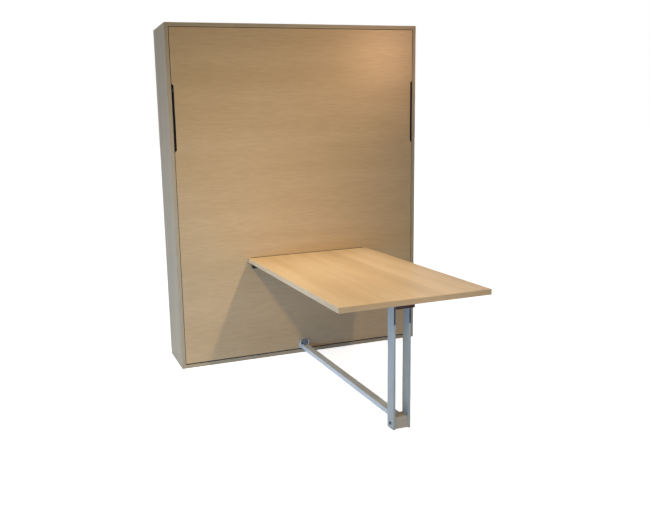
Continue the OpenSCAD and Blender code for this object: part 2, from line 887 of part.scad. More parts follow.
// Straps across the mattress, fastened to the side rails
module mattress_straps() {
    x1 = rail_x + seat_gap + strap_t;
    y0 = frame_y + rail_d;
    y1 = front_y + mat_y + mat_t + seat_gap;
    color(dark_steel)
        for (share = [0.38, 0.78]) {
            translate([0, 0, mat_z + mat_l * share - strap_w / 2])
                difference() {
                    translate([-x1, y0, 0]) cube([2 * x1, y1 + strap_t - y0, strap_w]);
                    translate([-x1 + strap_t, y0 - 1, -1])
                        cube([2 * x1 - 2 * strap_t, y1 - y0 + 1, strap_w + 2]);
                }
        }
}

// Pins on the side rails that carry the support legs
module support_pins() {
    head_t = 1.5;
    tip_x = support_x + support_t + seat_gap;
    color(steel)
        for (side = ["left", "right"]) {
            on_side(side) {
                x_rod(crank_x, support_x - seat_gap - crank_x, support_pin_d * 0.9, pivot_y, support_z);
                x_rod(crank_x, tip_x + head_t - crank_x, support_pin_d / 2, pivot_y, support_z);
                x_rod(tip_x, head_t, support_pin_d * 0.75, pivot_y, support_z);
            }
        }
}

// ---------- desk hinge and clevis on the front panel ----------

// The batten on the front panel that the tabletop's rear edge rests on
module desk_batten() {
    color(dark_steel)
        translate([hinge_x0, front_y - batten_d, desk_h - desk_t - seat_gap - batten_h])
            eased_board([hinge_l, batten_d, batten_h], ease);
}

// One leaf of the hinge: leaf 0 seats on the front panel and leaf 1 on the tabletop
module hinge_leaf(leaf, pin_gap) {
    barrel_r = hinge_gap / 2 - seat_gap / 3;
    leaf_y = leaf == 0 ? front_y - leaf_t - run_gap : front_y - hinge_gap + run_gap;
    end_gap = seat_gap / 2;
    difference() {
        union() {
            translate([hinge_x0, leaf_y, desk_h - desk_t]) cube([hinge_l, leaf_t, desk_t]);
            for (i = [leaf:2:knuckles - 1]) {
                x0 = hinge_x0 + knuckle_l * i + end_gap;
                x_rod(x0, knuckle_l - 2 * end_gap, barrel_r, hinge_y, hinge_z);
                translate([x0, leaf_y, desk_h - 1])
                    cube([knuckle_l - 2 * end_gap, leaf_t, hinge_gap / 2 + 1]);
            }
        }
        x_rod(hinge_x0 - 1, hinge_l + 2, hinge_pin_d / 2 + pin_gap, hinge_y, hinge_z);
    }
}

module panel_hinge_leaf() {
    color(dark_steel) hinge_leaf(0, 0);
}

module hinge_pin() {
    color(steel) x_rod(hinge_x0, hinge_l, hinge_pin_d / 2, hinge_y, hinge_z);
}

// Two ears on the front panel that hold the rear end of the link bar
module bar_clevis() {
    inner = clevis_gap / 2;
    z0 = bar_z - clevis_drop;
    z1 = bar_z + hub_r;
    color(steel)
        difference() {
            union() {
                for (x0 = [leg_x - inner - clevis_t, leg_x + inner]) {
                    across(x0, clevis_t) {
                        translate([bar_y, bar_z]) circle(r = hub_r);
                        translate([bar_y, z0]) square([front_y - bar_y, z1 - z0]);
                        translate([bar_y - hub_r, z0 + hub_r])
                            square([hub_r + front_y - bar_y, bar_z - z0 - hub_r]);
                        translate([bar_y, z0 + hub_r]) circle(r = hub_r);
                    }
                }
                translate([leg_x - inner - clevis_t, front_y - clevis_base, z0])
                    cube([2 * (inner + clevis_t), clevis_base, z1 - z0]);
            }
            x_rod(leg_x - clevis_gap, 2 * clevis_gap, bar_bolt_d / 2, bar_y, bar_z);
        }
}

module bar_pivot_bolt() {
    reach = clevis_gap / 2 + clevis_t;
    color(steel) pivot_bolt(leg_x - reach, leg_x + reach, bar_bolt_d, bar_y, bar_z);
}

// ---------- desk ----------

module tabletop() {
    color(pale_wood)
        translate([desk_x - desk_w / 2, front_y - hinge_gap - desk_l, desk_h - desk_t])
            eased_board([desk_w, desk_l, desk_t], ease);
}

module table_hinge_leaf() {
    color(dark_steel) hinge_leaf(1, run_gap);
}

// The dark batten under the tabletop in front of the leg, which turns clear of it
module leg_batten() {
    color(dark_steel)
        translate([leg_x - leg_batten_w / 2, leg_batten_y, desk_h - desk_t - leg_batten_h])
            eased_board([leg_batten_w, batten_d, leg_batten_h], ease);
}

// The plate under the tabletop, with a tongue that reaches down into each leg tube
module leg_bracket() {
    under = desk_h - desk_t;
    tip_r = (tongue_front + tongue_rear) / 2;
    mid_y = top_y - tongue_front + tip_r;
    color(dark_steel)
        difference() {
            union() {
                translate([leg_x - bracket_w / 2, leg_batten_y + batten_d + seat_gap, under - bracket_t])
                    cube([bracket_w, bracket_l, bracket_t]);
                for (dir = [-1, 1]) {
                    across(leg_x + dir * (leg_gap + leg_w) / 2 - tongue_t / 2, tongue_t) {
                        translate([mid_y, tongue_z + tip_r]) circle(r = tip_r);
                        translate([mid_y - tip_r, tongue_z + tip_r])
                            square([2 * tip_r, tongue_l - tip_r]);
                    }
                }
            }
            x_rod(leg_x - bracket_w / 2, bracket_w, top_bolt_d / 2, top_y, top_z);
        }
}

// Two bolts, each through one leg tube and the tongue inside it
module leg_pivot_bolts() {
    reach = leg_w / 2 + seat_gap;
    color(steel)
        for (dir = [-1, 1]) {
            x = leg_x + dir * (leg_gap + leg_w) / 2;
            pivot_bolt(x - reach, x + reach, top_bolt_d, top_y, top_z);
        }
}

// ---------- desk leg ----------

// The leg's side outline, rounded at its upper rear corner so that it turns under the bracket
module leg_outline() {
    y0 = foot_y - leg_d / 2;
    rear = foot_y + leg_d / 2 - top_y;
    translate([y0, glide_h]) square([leg_d, top_z - glide_h]);
    translate([y0, top_z - 1]) square([top_y - y0, leg_top_r + 1]);
    intersection() {
        translate([top_y, top_z]) circle(r = leg_top_r);
        translate([top_y - 1, top_z - 1]) square([rear + 1, leg_top_r + 1]);
    }
}

// One tube of the leg, with the slots in its front and rear walls that the bracket's tongue swings through
module leg_tube(side) {
    dir = side == "left" ? -1 : 1;
    x = leg_x + dir * (leg_gap + leg_w) / 2;
    slot_t = tongue_t + 2 * pass_gap;
    rear_z = top_z - tongue_rear - pass_gap;
    color(steel)
        difference() {
            intersection() {
                translate([x, foot_y, 0])
                    linear_extrude(height = desk_h) tube_section([leg_w, leg_d], leg_wall, leg_round);
                across(x - leg_w, 2 * leg_w) leg_outline();
            }
            x_rod(x - leg_w, 2 * leg_w, top_bolt_d / 2 + run_gap, top_y, top_z);
            x_rod(x - leg_w, 2 * leg_w, bar_bolt_d / 2, foot_y, foot_pivot_z);
            translate([x - slot_t / 2, foot_y - leg_d, tongue_z - pass_gap])
                cube([slot_t, leg_d, desk_h - tongue_z]);
            translate([x - slot_t / 2, foot_y, rear_z]) cube([slot_t, leg_d, desk_h - rear_z]);
        }
}

// Plastic feet plugged into the lower ends of the leg tubes
module leg_feet() {
    plug_h = foot_pivot_z - bar_bolt_d / 2 - glide_h - 4;
    color(black_plastic)
        for (dir = [-1, 1]) {
            translate([leg_x + dir * (leg_gap + leg_w) / 2, foot_y, 0]) {
                linear_extrude(height = glide_h) round_rect([leg_w, leg_d], leg_round);
                translate([-leg_w / 2 + leg_wall, -leg_d / 2 + leg_wall, glide_h / 2])
                    cube([leg_w - 2 * leg_wall, leg_d - 2 * leg_wall, plug_h + glide_h / 2]);
            }
        }
}

module foot_pivot_bolt() {
    reach = leg_gap / 2 + leg_w;
    color(steel) pivot_bolt(leg_x - reach, leg_x + reach, bar_bolt_d, foot_y, foot_pivot_z);
}

// ---------- link bar ----------

// The bar, with a slot in the top of its rear end for the lug
module link_bar() {
    y0 = foot_y + block_l / 2;
    slot_l = 4 * hub_r;
    color(steel)
        difference() {
            translate([leg_x, bar_y1, bar_z0 + bar_h / 2])
                rotate([90, 0, 0])
                    linear_extrude(height = bar_y1 - y0) tube_section([bar_w, bar_h], bar_wall, bar_round);
            translate([leg_x - lug_w / 2, bar_y1 - slot_l, bar_z0 + bar_h / 2])
                cube([lug_w, slot_l + 1, bar_h]);
        }
}

// A block that fits inside the bar's end
module bar_plug(y0, y1) {
    translate([leg_x - bar_w / 2 + bar_wall, y0, bar_z0 + bar_wall])
        cube([bar_w - 2 * bar_wall, y1 - y0, bar_h - 2 * bar_wall]);
}

// The forged eye in the bar's rear end, whose lug rises to the clevis's bolt
module bar_eye() {
    lug_y = bar_y - hub_r * 0.3;
    hub_w = clevis_gap - 2 * seat_gap;
    color(dark_steel)
        difference() {
            union() {
                bar_plug(bar_y1 - bar_plug_l, bar_y1);
                across(leg_x - lug_w / 2, lug_w)
                    link_outline([lug_y, bar_z0 + bar_h / 2], hub_r, [bar_y, bar_z], hub_r);
                x_rod(leg_x - hub_w / 2, hub_w, bar_bolt_d * 0.8, bar_y, bar_z);
            }
            x_rod(leg_x - clevis_gap, 2 * clevis_gap, bar_bolt_d / 2 + run_gap, bar_y, bar_z);
        }
}

// The block at the bar's front end, between the leg tubes, with a round front edge on top
module bar_foot_block() {
    width = leg_gap - 2 * seat_gap;
    y0 = foot_y - block_l / 2;
    top = bar_z0 + bar_h;
    color(steel)
        difference() {
            union() {
                across(leg_x - width / 2, width) {
                    translate([y0, glide_h]) square([block_l, top - block_r - glide_h]);
                    translate([y0 + block_r, glide_h]) square([block_l - block_r, top - glide_h]);
                    translate([y0 + block_r, top - block_r]) circle(r = block_r);
                }
                bar_plug(foot_y, foot_y + block_l / 2 + bar_plug_l);
            }
            x_rod(leg_x - leg_gap, 2 * leg_gap, bar_bolt_d / 2 + run_gap, foot_y, foot_pivot_z);
        }
}

// ---------- support legs ----------

module support_leg(side) {
    r = support_w / 2;
    z0 = support_z - pivot_z + support_foot_h;
    color(black_plastic) on_side(side)
        difference() {
            across(support_x, support_t) {
                translate([pivot_y, support_z]) circle(r = r);
                translate([pivot_y - r, z0]) square([2 * r, support_z - z0]);
            }
            x_rod(support_x - 1, support_t + 2, support_pin_d / 2 + run_gap, pivot_y, support_z);
        }
}

module support_foot(side) {
    color(black_plastic) on_side(side)
        translate([support_x, pivot_y - support_w / 2, support_z - pivot_z])
            eased_board([support_t, support_w, support_foot_h], ease);
}

// ---------- gas struts ----------

// Places a strut's own axis: its origin is at the upper stud and it hangs along -Z
module strut_frame(side) {
    on_side(side)
        translate([strut_x, stud_y, stud_z])
            rotate([-strut_lean, 0, 0]) children();
}

// The cylinder, hollow between its two glands, with its eye on the upper stud
module strut_cylinder(side) {
    color(dark_steel) strut_frame(side)
        difference() {
            union() {
                translate([0, 0, cyl_bottom]) cylinder(h = cyl_l, r = strut_d / 2);
                translate([0, 0, cyl_top - gland_l / 2])
                    cylinder(h = gland_l / 2 - cyl_top, r = stud_d * 0.6);
                x_rod(-eye_w / 2, eye_w, eye_r, 0, 0);
            }
            x_rod(-eye_w, 2 * eye_w, stud_d / 2 + run_gap, 0, 0);
            translate([0, 0, cyl_bottom + gland_l]) cylinder(h = cyl_l - 2 * gland_l, r = cyl_bore_r);
            translate([0, 0, cyl_bottom - 1]) cylinder(h = gland_l + 2, r = rod_d / 2 + run_gap);
        }
}

// The rod with its piston, and the eye and pin at its lower end beside the crank arm
module strut_rod(side) {
    piston_z = cyl_bottom + gland_l + piston_h / 2;
    rod_z = eye_r * 0.6 - strut_l;
    pin_x = crank_x + crank_t + seat_gap - strut_x;
    color(steel) strut_frame(side) {
        translate([0, 0, rod_z]) cylinder(h = piston_z + piston_h - rod_z, r = rod_d / 2);
        translate([0, 0, piston_z]) cylinder(h = piston_h, r = cyl_bore_r - run_gap);
        x_rod(-eye_w / 2, eye_w, eye_r, 0, -strut_l);
        x_rod(pin_x, -pin_x, stud_d / 2, 0, -strut_l);
        x_rod(0, eye_w / 2 + stud_head, stud_d * 0.7, 0, -strut_l);
    }
}

// ---------- parts ----------

side_panel("left");  // side_panel_left
side_panel("right");  // side_panel_right
top_panel();
bottom_panel();
rear_bottom_rail();
headboard_panel();
rear_stiles();
rear_top_rail();
rear_angles();
carcass_dowels();
stop_cleat();
pivot_plate("left");  // pivot_plate_left
pivot_plate("right");  // pivot_plate_right
strut_studs();
front_panel();
grip_liners();
side_rail("left");  // side_rail_left
side_rail("right");  // side_rail_right
head_rail();
foot_rail();
centre_rail();
rail_end_plugs();
panel_clips();
crank_plate("left");  // crank_plate_left
crank_plate("right");  // crank_plate_right
pivot_bushes();
slats("left");  // slats_left
slats("right");  // slats_right
slat_holders();
head_stop_board();
foot_bow();
mattress();
mattress_straps();
support_pins();
desk_batten();
panel_hinge_leaf();
hinge_pin();
bar_clevis();
bar_pivot_bolt();
tabletop();
table_hinge_leaf();
leg_batten();
leg_bracket();
leg_pivot_bolts();
leg_tube("left");  // leg_tube_left
leg_tube("right");  // leg_tube_right
leg_feet();
foot_pivot_bolt();
link_bar();
bar_eye();
bar_foot_block();
support_leg("left");  // support_leg_left
support_leg("right");  // support_leg_right
support_foot("left");  // support_foot_left
support_foot("right");  // support_foot_right
strut_cylinder("left");  // strut_cylinder_left
strut_cylinder("right");  // strut_cylinder_right
strut_rod("left");  // strut_rod_left
strut_rod("right");  // strut_rod_right
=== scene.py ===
# %% [markdown]
# # A wall bed with a fold down desk
#
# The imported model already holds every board, tube, pin and strut at its real size. This lesson
# dresses it: each surface gets the finish that the real one has, the soft pieces are modelled, and
# small screws are added where fittings are fixed. Lengths are in metres. X runs to the right, Y
# towards the wall and Z up.

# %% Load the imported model
import json
import math

import bmesh
import bpy
from mathutils import Matrix, Quaternion, Vector


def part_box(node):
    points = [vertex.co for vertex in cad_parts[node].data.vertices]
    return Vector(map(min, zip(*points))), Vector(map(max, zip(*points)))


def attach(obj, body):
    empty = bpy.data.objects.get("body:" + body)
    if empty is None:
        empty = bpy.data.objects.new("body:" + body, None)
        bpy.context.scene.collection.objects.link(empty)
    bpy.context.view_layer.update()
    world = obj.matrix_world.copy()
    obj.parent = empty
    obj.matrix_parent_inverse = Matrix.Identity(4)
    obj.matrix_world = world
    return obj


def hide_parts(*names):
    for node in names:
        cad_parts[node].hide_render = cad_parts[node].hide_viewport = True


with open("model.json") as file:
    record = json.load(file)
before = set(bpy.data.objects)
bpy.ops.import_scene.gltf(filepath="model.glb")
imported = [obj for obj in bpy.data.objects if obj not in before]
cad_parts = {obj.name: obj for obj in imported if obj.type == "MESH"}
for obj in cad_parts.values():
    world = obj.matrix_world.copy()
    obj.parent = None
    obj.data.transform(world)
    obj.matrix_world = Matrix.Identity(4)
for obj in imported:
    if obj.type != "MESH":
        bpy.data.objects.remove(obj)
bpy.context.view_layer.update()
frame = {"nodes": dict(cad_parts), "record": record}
nodes = frame["nodes"]

# %% [markdown]
# ## The camera
#
# A camera is placed by where known corners of the cabinet and the desk appear in the picture. The
# picture's optical axis isn't in its middle, so the lens is shifted, mostly sideways, by that share
# of the picture's width.

# %% Place the camera
photo_w = 650
photo_h = 509
focal_px = 679.46
axis_px = (256.15, 252.80)
sensor = 36.0
yaw = 0.3156
pitch = -0.1819
roll = -0.0331

lens = bpy.data.cameras.new("camera")
lens.sensor_width = sensor
lens.lens = sensor * focal_px / photo_w
lens.shift_x = (photo_w / 2 - axis_px[0]) / photo_w
lens.shift_y = (axis_px[1] - photo_h / 2) / photo_w
camera = bpy.data.objects.new("camera", lens)
bpy.context.scene.collection.objects.link(camera)
flat_share = math.cos(pitch)
forward = Vector((math.sin(yaw) * flat_share, math.cos(yaw) * flat_share, math.sin(pitch)))
camera.rotation_mode = "QUATERNION"
camera.rotation_quaternion = Quaternion(forward, -roll) @ forward.to_track_quat("-Z", "Y")
camera.location = (-1.7501, -4.5122, 1.5894)
bpy.context.scene.camera = camera
print("lens", round(lens.lens, 2), "mm, shift", round(lens.shift_x, 4), round(lens.shift_y, 4))

# %% [markdown]
# ## Colours and nodes
#
# Colours are written as the hex codes of a colour card, which are sRGB. Shaders work in linear
# light, so one function turns a code into a linear colour. A second one adds a node with its
# settings and its links.

# %% A colour card, a node helper and a way to start a material
# a Mix node has sockets of one name for numbers, vectors and colours, so they are told by number
VECTOR_A = 4
VECTOR_B = 5
VECTOR_OUT = 1
MIX_A = 6
MIX_B = 7
MIX_OUT = 2
MULTIPLIED = {"data_type": "RGBA", "blend_type": "MULTIPLY"}


def card(code):
    """The linear colour of an sRGB hex code."""
    shares = [int(code[i : i + 2], 16) / 255 for i in (1, 3, 5)]
    return [s / 12.92 if s <= 0.04045 else ((s + 0.055) / 1.055) ** 2.4 for s in shares] + [1.0]


def add(tree, kind, sockets=None, stops=(), **settings):
    """Adds a node: settings are its own, sockets are values or links, stops are a ramp's."""
    made = tree.nodes.new("ShaderNode" + kind)
    for name, value in settings.items():
        setattr(made, name, value)
    for name, value in (sockets or {}).items():
        if isinstance(value, bpy.types.NodeSocket):
            tree.links.new(value, made.inputs[name])
        else:
            made.inputs[name].default_value = value
    for i, (place, colour) in enumerate(stops):
        ramp = made.color_ramp.elements
        stop = ramp[i] if i < 2 else ramp.new(place)
        stop.position = place
        stop.color = colour
    return made


def start_material(name, code, roughness, metallic=0.0):
    """A material with a plain shader; what varies over the surface is linked to it afterwards."""
    material = bpy.data.materials.new(name)
    material.use_nodes = True
    shader = material.node_tree.nodes["Principled BSDF"]
    shader.inputs["Base Color"].default_value = card(code)
    shader.inputs["Roughness"].default_value = roughness
    shader.inputs["Metallic"].default_value = metallic
    material.diffuse_color = card(code)
    return material, material.node_tree, shader


def grey(level):
    """A ramp's stop for a plain number."""
    return [level, level, level, 1.0]


# %% [markdown]
# ## Oak decor
#
# The boards are chipboard faced with melamine: an oak grain printed on paper, pressed under a plate
# that embosses the pores. The print shows as long, faint streaks along the grain, and the pores as
# short dark dashes. The face is satin, so a lamp leaves a wide, soft glow. Edge bands carry the
# grain along the edge. The tabletop's print shows glued staves, each a little lighter or darker.

# %% Oak decor, for any board
AXES = {"X": (1, 0, 0), "Y": (0, 1, 0), "Z": (0, 0, 1)}
# cells of noise in a metre, along, across and through the grain
figure_scale = (0.8, 9.0, 9.0)  # tones about 110 mm wide and over a metre long
streak_scale = (11.0, 150.0, 150.0)  # growth rings about 6 mm apart, in stretches some 90 mm long
pore_scale = (25.0, 650.0, 650.0)  # dashes 40 mm long, drawn 1.5 mm wide so that they still show
ring_dark = 0.09
ring_pale = 0.06
pore_share = 0.22
print_specular = 0.22
satin_spread = 0.09
end_slope = 0.5


def oak_decor(name, pale, dark, faces, ends, stave=None, depth=1.0, satin=0.32):
    """Melamine with an oak print; faces and ends name its axes along, across and through."""
    material, tree, shader = start_material(name, pale, satin)
    shader.inputs["Specular IOR Level"].default_value = print_specular
    place = add(tree, "TexCoord")
    axis = add(tree, "SeparateXYZ", {"Vector": place.outputs["Object"]})
    turned = []
    for order in (faces, ends):
        parts = {slot: axis.outputs[letter] for slot, letter in zip("XYZ", order)}
        turned.append(add(tree, "CombineXYZ", parts).outputs["Vector"])
    normal_and_grain = {0: place.outputs["Normal"], 1: AXES[faces[0]]}
    facing = add(tree, "VectorMath", normal_and_grain, operation="DOT_PRODUCT").outputs["Value"]
    square_on = add(tree, "Math", {0: facing}, operation="ABSOLUTE").outputs["Value"]
    is_end = add(tree, "Math", {0: square_on, 1: end_slope}, operation="GREATER_THAN")
    along = add(
        tree,
        "Mix",
        {0: is_end.outputs["Value"], VECTOR_A: turned[0], VECTOR_B: turned[1]},
        data_type="VECTOR",
    ).outputs[VECTOR_OUT]

    noises = []
    for scale, detail in ((figure_scale, 2.0), (streak_scale, 4.0), (pore_scale, 1.0)):
        cells = add(tree, "Mapping", {"Vector": along, "Scale": scale}).outputs["Vector"]
        noise = add(tree, "TexNoise", {"Vector": cells, "Scale": 1.0, "Detail": detail})
        noises.append(noise.outputs["Fac"])
    figure, streak, pore = noises

    tone = add(tree, "ValToRGB", {"Fac": figure}, [(0.3, card(dark)), (0.7, card(pale))])
    ring_stops = [(0.32, grey(1 - ring_dark * depth)), (0.66, grey(1 + ring_pale * depth))]
    rings = add(tree, "ValToRGB", {"Fac": streak}, ring_stops)
    pores = add(tree, "ValToRGB", {"Fac": pore}, [(0.3, grey(0.72)), (0.42, grey(1.0))])
    layers = [(1.0, rings), (pore_share, pores)]
    if stave:
        across = add(tree, "SeparateXYZ", {"Vector": along}).outputs["Y"]
        number = add(tree, "Math", {0: across, 1: stave}, operation="DIVIDE").outputs["Value"]
        whole = add(tree, "Math", {0: number}, operation="FLOOR").outputs["Value"]
        pick = add(tree, "TexWhiteNoise", {"W": whole}, noise_dimensions="1D").outputs["Value"]
        lift = add(tree, "ValToRGB", {"Fac": pick}, [(0.0, grey(0.93)), (1.0, grey(1.04))])
        layers.append((1.0, lift))
    colour = tone.outputs["Color"]
    for share, layer in layers:
        both = {0: share, MIX_A: colour, MIX_B: layer.outputs["Color"]}
        colour = add(tree, "Mix", both, **MULTIPLIED).outputs[MIX_OUT]
    tree.links.new(colour, shader.inputs["Base Color"])
    sheen = add(
        tree,
        "MapRange",
        {"Value": streak, "To Min": satin - satin_spread, "To Max": satin + satin_spread},
    )
    tree.links.new(sheen.outputs["Result"], shader.inputs["Roughness"])
    emboss = {"Height": pores.outputs["Color"], "Strength": 0.2, "Distance": 0.0003}
    tree.links.new(add(tree, "Bump", emboss).outputs["Normal"], shader.inputs["Normal"])
    return material


stave_w = 0.108
front_oak = oak_decor("oak decor, front panel", "#bea079", "#b89a72", "XZY", "ZYX", depth=0.7)
# the tabletop has the front's decor, drawn paler: the paler tint is painted light, standing for the
# stronger light a top face gets
desk_oak_painted_paler = oak_decor("oak decor, tabletop", "#e5c8a1", "#d4b285", "YXZ", "XZY", stave_w, 0.6, 0.42)
# the uprights and shelves have the front's decor, drawn greyer and darker: partly a plainer carcass
# decor and partly painted cool shade
cabinet_look_with_painted_shade = {"pale": "#ab9a80", "dark": "#a39175", "depth": 0.7, "satin": 0.45}
upright_oak = oak_decor("oak decor, uprights", faces="ZYX", ends="YXZ", **cabinet_look_with_painted_shade)
shelf_oak = oak_decor("oak decor, shelves", faces="XYZ", ends="YZX", **cabinet_look_with_painted_shade)
boards = [m for m in bpy.data.materials if m.name.startswith("oak")]
print("oak decor on", len(boards), "kinds of board")

# %% [markdown]
# ## Powder coat
#
# The leg and the frame are steel tube, sprayed with powder and baked. The coat flows into a very
# fine orange peel and rounds every edge, and it keeps a low sheen. Handling leaves thin scuffs that
# run along the tube. The cast block at the foot of the link bar has a clear lacquer, which looks
# much the same in another colour.

# %% Powder coat
# cells of noise in a metre: bumps 2.4 mm apart, a tone that drifts over 110 mm, scuffs 4 by 110 mm
peel_scale = 420.0
drift_scale = 9.0
scuff_scale = (260.0, 260.0, 9.0)


def powder_coat(name, code, worn, roughness, metallic=0.0):
    """A baked powder coat with orange peel and faint scuffs along Z."""
    material, tree, shader = start_material(name, code, roughness, metallic)
    place = add(tree, "TexCoord").outputs["Object"]
    peel = add(tree, "TexNoise", {"Vector": place, "Scale": peel_scale, "Detail": 1.0})
    drift = add(tree, "TexNoise", {"Vector": place, "Scale": drift_scale, "Detail": 2.0})
    lines = add(tree, "Mapping", {"Vector": place, "Scale": scuff_scale}).outputs["Vector"]
    scuff = add(tree, "TexNoise", {"Vector": lines, "Scale": 1.0, "Detail": 3.0}).outputs["Fac"]
    marks = add(tree, "ValToRGB", {"Fac": scuff}, [(0.66, grey(0.0)), (0.74, grey(1.0))])
    tone_range = {"From Min": 0.3, "From Max": 0.7, "To Min": 0.95, "To Max": 1.04}
    tone = add(tree, "MapRange", {"Value": drift.outputs["Fac"], **tone_range})
    toned = {0: 1.0, MIX_A: card(code), MIX_B: tone.outputs["Result"]}
    base = add(tree, "Mix", toned, **MULTIPLIED).outputs[MIX_OUT]
    scuffed = {0: marks.outputs["Color"], MIX_A: base, MIX_B: card(worn)}
    coat = add(tree, "Mix", scuffed, data_type="RGBA")
    tree.links.new(coat.outputs[MIX_OUT], shader.inputs["Base Color"])
    gloss_range = {"To Min": roughness - 0.05, "To Max": roughness + 0.07}
    gloss = add(tree, "MapRange", {"Value": drift.outputs["Fac"], **gloss_range})
    tree.links.new(gloss.outputs["Result"], shader.inputs["Roughness"])
    skin = add(tree, "Bump", {"Height": peel.outputs["Fac"], "Strength": 0.12, "Distance": 0.0004})
    tree.links.new(skin.outputs["Normal"], shader.inputs["Normal"])
    return material


silver_coat = powder_coat("silver grey powder coat", "#a6aeae", "#bcc2c3", 0.42, 0.1)
light_coat = powder_coat("light grey powder coat", "#c6cacb", "#d6d9d9", 0.42, 0.1)
# the eye is coated darker grey than the bar: painted shade, standing for the shade between the
# clevis ears
eye_coat_painted_shade = powder_coat("dark grey powder coat", "#6d7071", "#85898a", 0.45, 0.1)
block_coat = powder_coat("cast block, clear lacquer", "#b8ad9c", "#c8bead", 0.5, 0.1)
black_coat = powder_coat("black powder coat", "#2a2b2d", "#4a4b4e", 0.45)
# the bracket plate is coated dark brown: painted shade, standing for the shade under the tabletop
bracket_coat_painted_shade = powder_coat("dark brown powder coat", "#33282a", "#4c3d3c", 0.5)

# %% [markdown]
# ## Zinc plate and chrome
#
# Small fittings are pressed or turned from steel and zinc plated. The plate is thin and bright,
# slightly blue, and cloudy where the bath left it uneven. The strut rods are ground and hard
# chromed, so they mirror.

# %% Plated steel
# cells of noise in a metre: clouds 18 mm wide, and a grain of 1.1 mm
cloud_scale = 55.0
grit_scale = 900.0


def plated(name, code, cloud, roughness, spread):
    """Bright plated steel, whose tone and roughness drift in clouds."""
    material, tree, shader = start_material(name, code, roughness, 1.0)
    place = add(tree, "TexCoord").outputs["Object"]
    clouds = add(tree, "TexNoise", {"Vector": place, "Scale": cloud_scale, "Detail": 4.0})
    grit = add(tree, "TexNoise", {"Vector": place, "Scale": grit_scale, "Detail": 1.0})
    tint_stops = [(0.35, card(cloud)), (0.65, card(code))]
    tint = add(tree, "ValToRGB", {"Fac": clouds.outputs["Fac"]}, tint_stops)
    tree.links.new(tint.outputs["Color"], shader.inputs["Base Color"])
    dull_range = {"To Min": roughness + spread, "To Max": roughness - spread}
    dull = add(tree, "MapRange", {"Value": clouds.outputs["Fac"], **dull_range})
    tree.links.new(dull.outputs["Result"], shader.inputs["Roughness"])
    skin = add(tree, "Bump", {"Height": grit.outputs["Fac"], "Strength": 0.1, "Distance": 0.0002})
    tree.links.new(skin.outputs["Normal"], shader.inputs["Normal"])
    return material


zinc = plated("zinc plate", "#c3c8cc", "#a5acb4", 0.34, 0.1)
hard_chrome = plated("hard chrome", "#d8dadc", "#cfd2d5", 0.12, 0.03)

# %% [markdown]
# ## Beech plywood
#
# Each slat is glued from thin beech veneers and bent in a press. Its faces show short flecks along
# the grain, and its cut edges show the veneers as fine light and dark lines that follow the bow.

# %% Beech plywood that follows the slat's bow
slat_low, slat_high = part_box("slats_right")
slat_thick = 0.008
slat_bow = slat_high.y - slat_low.y - slat_thick
veneer = 0.0016
fleck_scale = (60.0, 500.0, 500.0)  # flecks 17 mm long and 2 mm wide
face_slope = 0.6


def beech_ply():
    """Bent plywood: flecks on its faces, and veneers on its cut edges."""
    material, tree, shader = start_material("beech plywood", "#dcbd93", 0.4)
    place = add(tree, "TexCoord")
    axis = add(tree, "SeparateXYZ", {"Vector": place.outputs["Object"]})
    side = add(tree, "Math", {0: axis.outputs["X"]}, operation="ABSOLUTE").outputs["Value"]
    run = {"From Min": slat_low.x, "From Max": slat_high.x, "To Min": 0.0, "To Max": math.pi}
    share = add(tree, "MapRange", {"Value": side, **run}).outputs["Result"]
    bow = add(tree, "Math", {0: share}, operation="SINE").outputs["Value"]
    rise = add(tree, "Math", {0: bow, 1: slat_bow}, operation="MULTIPLY").outputs["Value"]
    height = add(tree, "Math", {0: axis.outputs["Y"], 1: rise}, operation="SUBTRACT")
    turns = {0: height.outputs["Value"], 1: math.pi / veneer}
    layer = add(tree, "Math", turns, operation="MULTIPLY").outputs["Value"]
    lines = add(tree, "Math", {0: layer}, operation="SINE").outputs["Value"]
    ply_stops = [(0.0, card("#b88f62")), (0.4, card("#e2c69d"))]
    plies = add(tree, "ValToRGB", {"Fac": lines}, ply_stops)
    cells = add(tree, "Mapping", {"Vector": place.outputs["Object"], "Scale": fleck_scale})
    fleck = add(tree, "TexNoise", {"Vector": cells.outputs["Vector"], "Scale": 1.0, "Detail": 2.0})
    face_stops = [(0.3, card("#c9a478")), (0.6, card("#e3c69c"))]
    face = add(tree, "ValToRGB", {"Fac": fleck.outputs["Fac"]}, face_stops)
    upward = add(tree, "SeparateXYZ", {"Vector": place.outputs["Normal"]}).outputs["Y"]
    flat = add(tree, "Math", {0: upward}, operation="ABSOLUTE").outputs["Value"]
    is_face = add(tree, "Math", {0: flat, 1: face_slope}, operation="GREATER_THAN")
    colour = add(
        tree,
        "Mix",
        {0: is_face.outputs["Value"], MIX_A: plies.outputs["Color"], MIX_B: face.outputs["Color"]},
        data_type="RGBA",
    )
    tree.links.new(colour.outputs[MIX_OUT], shader.inputs["Base Color"])
    skin = add(tree, "Bump", {"Height": fleck.outputs["Fac"], "Strength": 0.15, "Distance": 0.0003})
    tree.links.new(skin.outputs["Normal"], shader.inputs["Normal"])
    return material


ply = beech_ply()

# %% [markdown]
# ## Moulded plastic, nylon, rubber and stained battens
#
# The plastic pieces are injection moulded in a spark eroded tool, which leaves a fine, even grain.
# Nylon is turned and slightly waxy. Rubber is dull, and a little dusty where it is handled. The two
# battens are wood, stained so dark that little but the pores shows, so they take the oak's recipe.

# %% Moulded pieces and stained battens
dust_scale = 40.0  # patches of dust about 25 mm wide


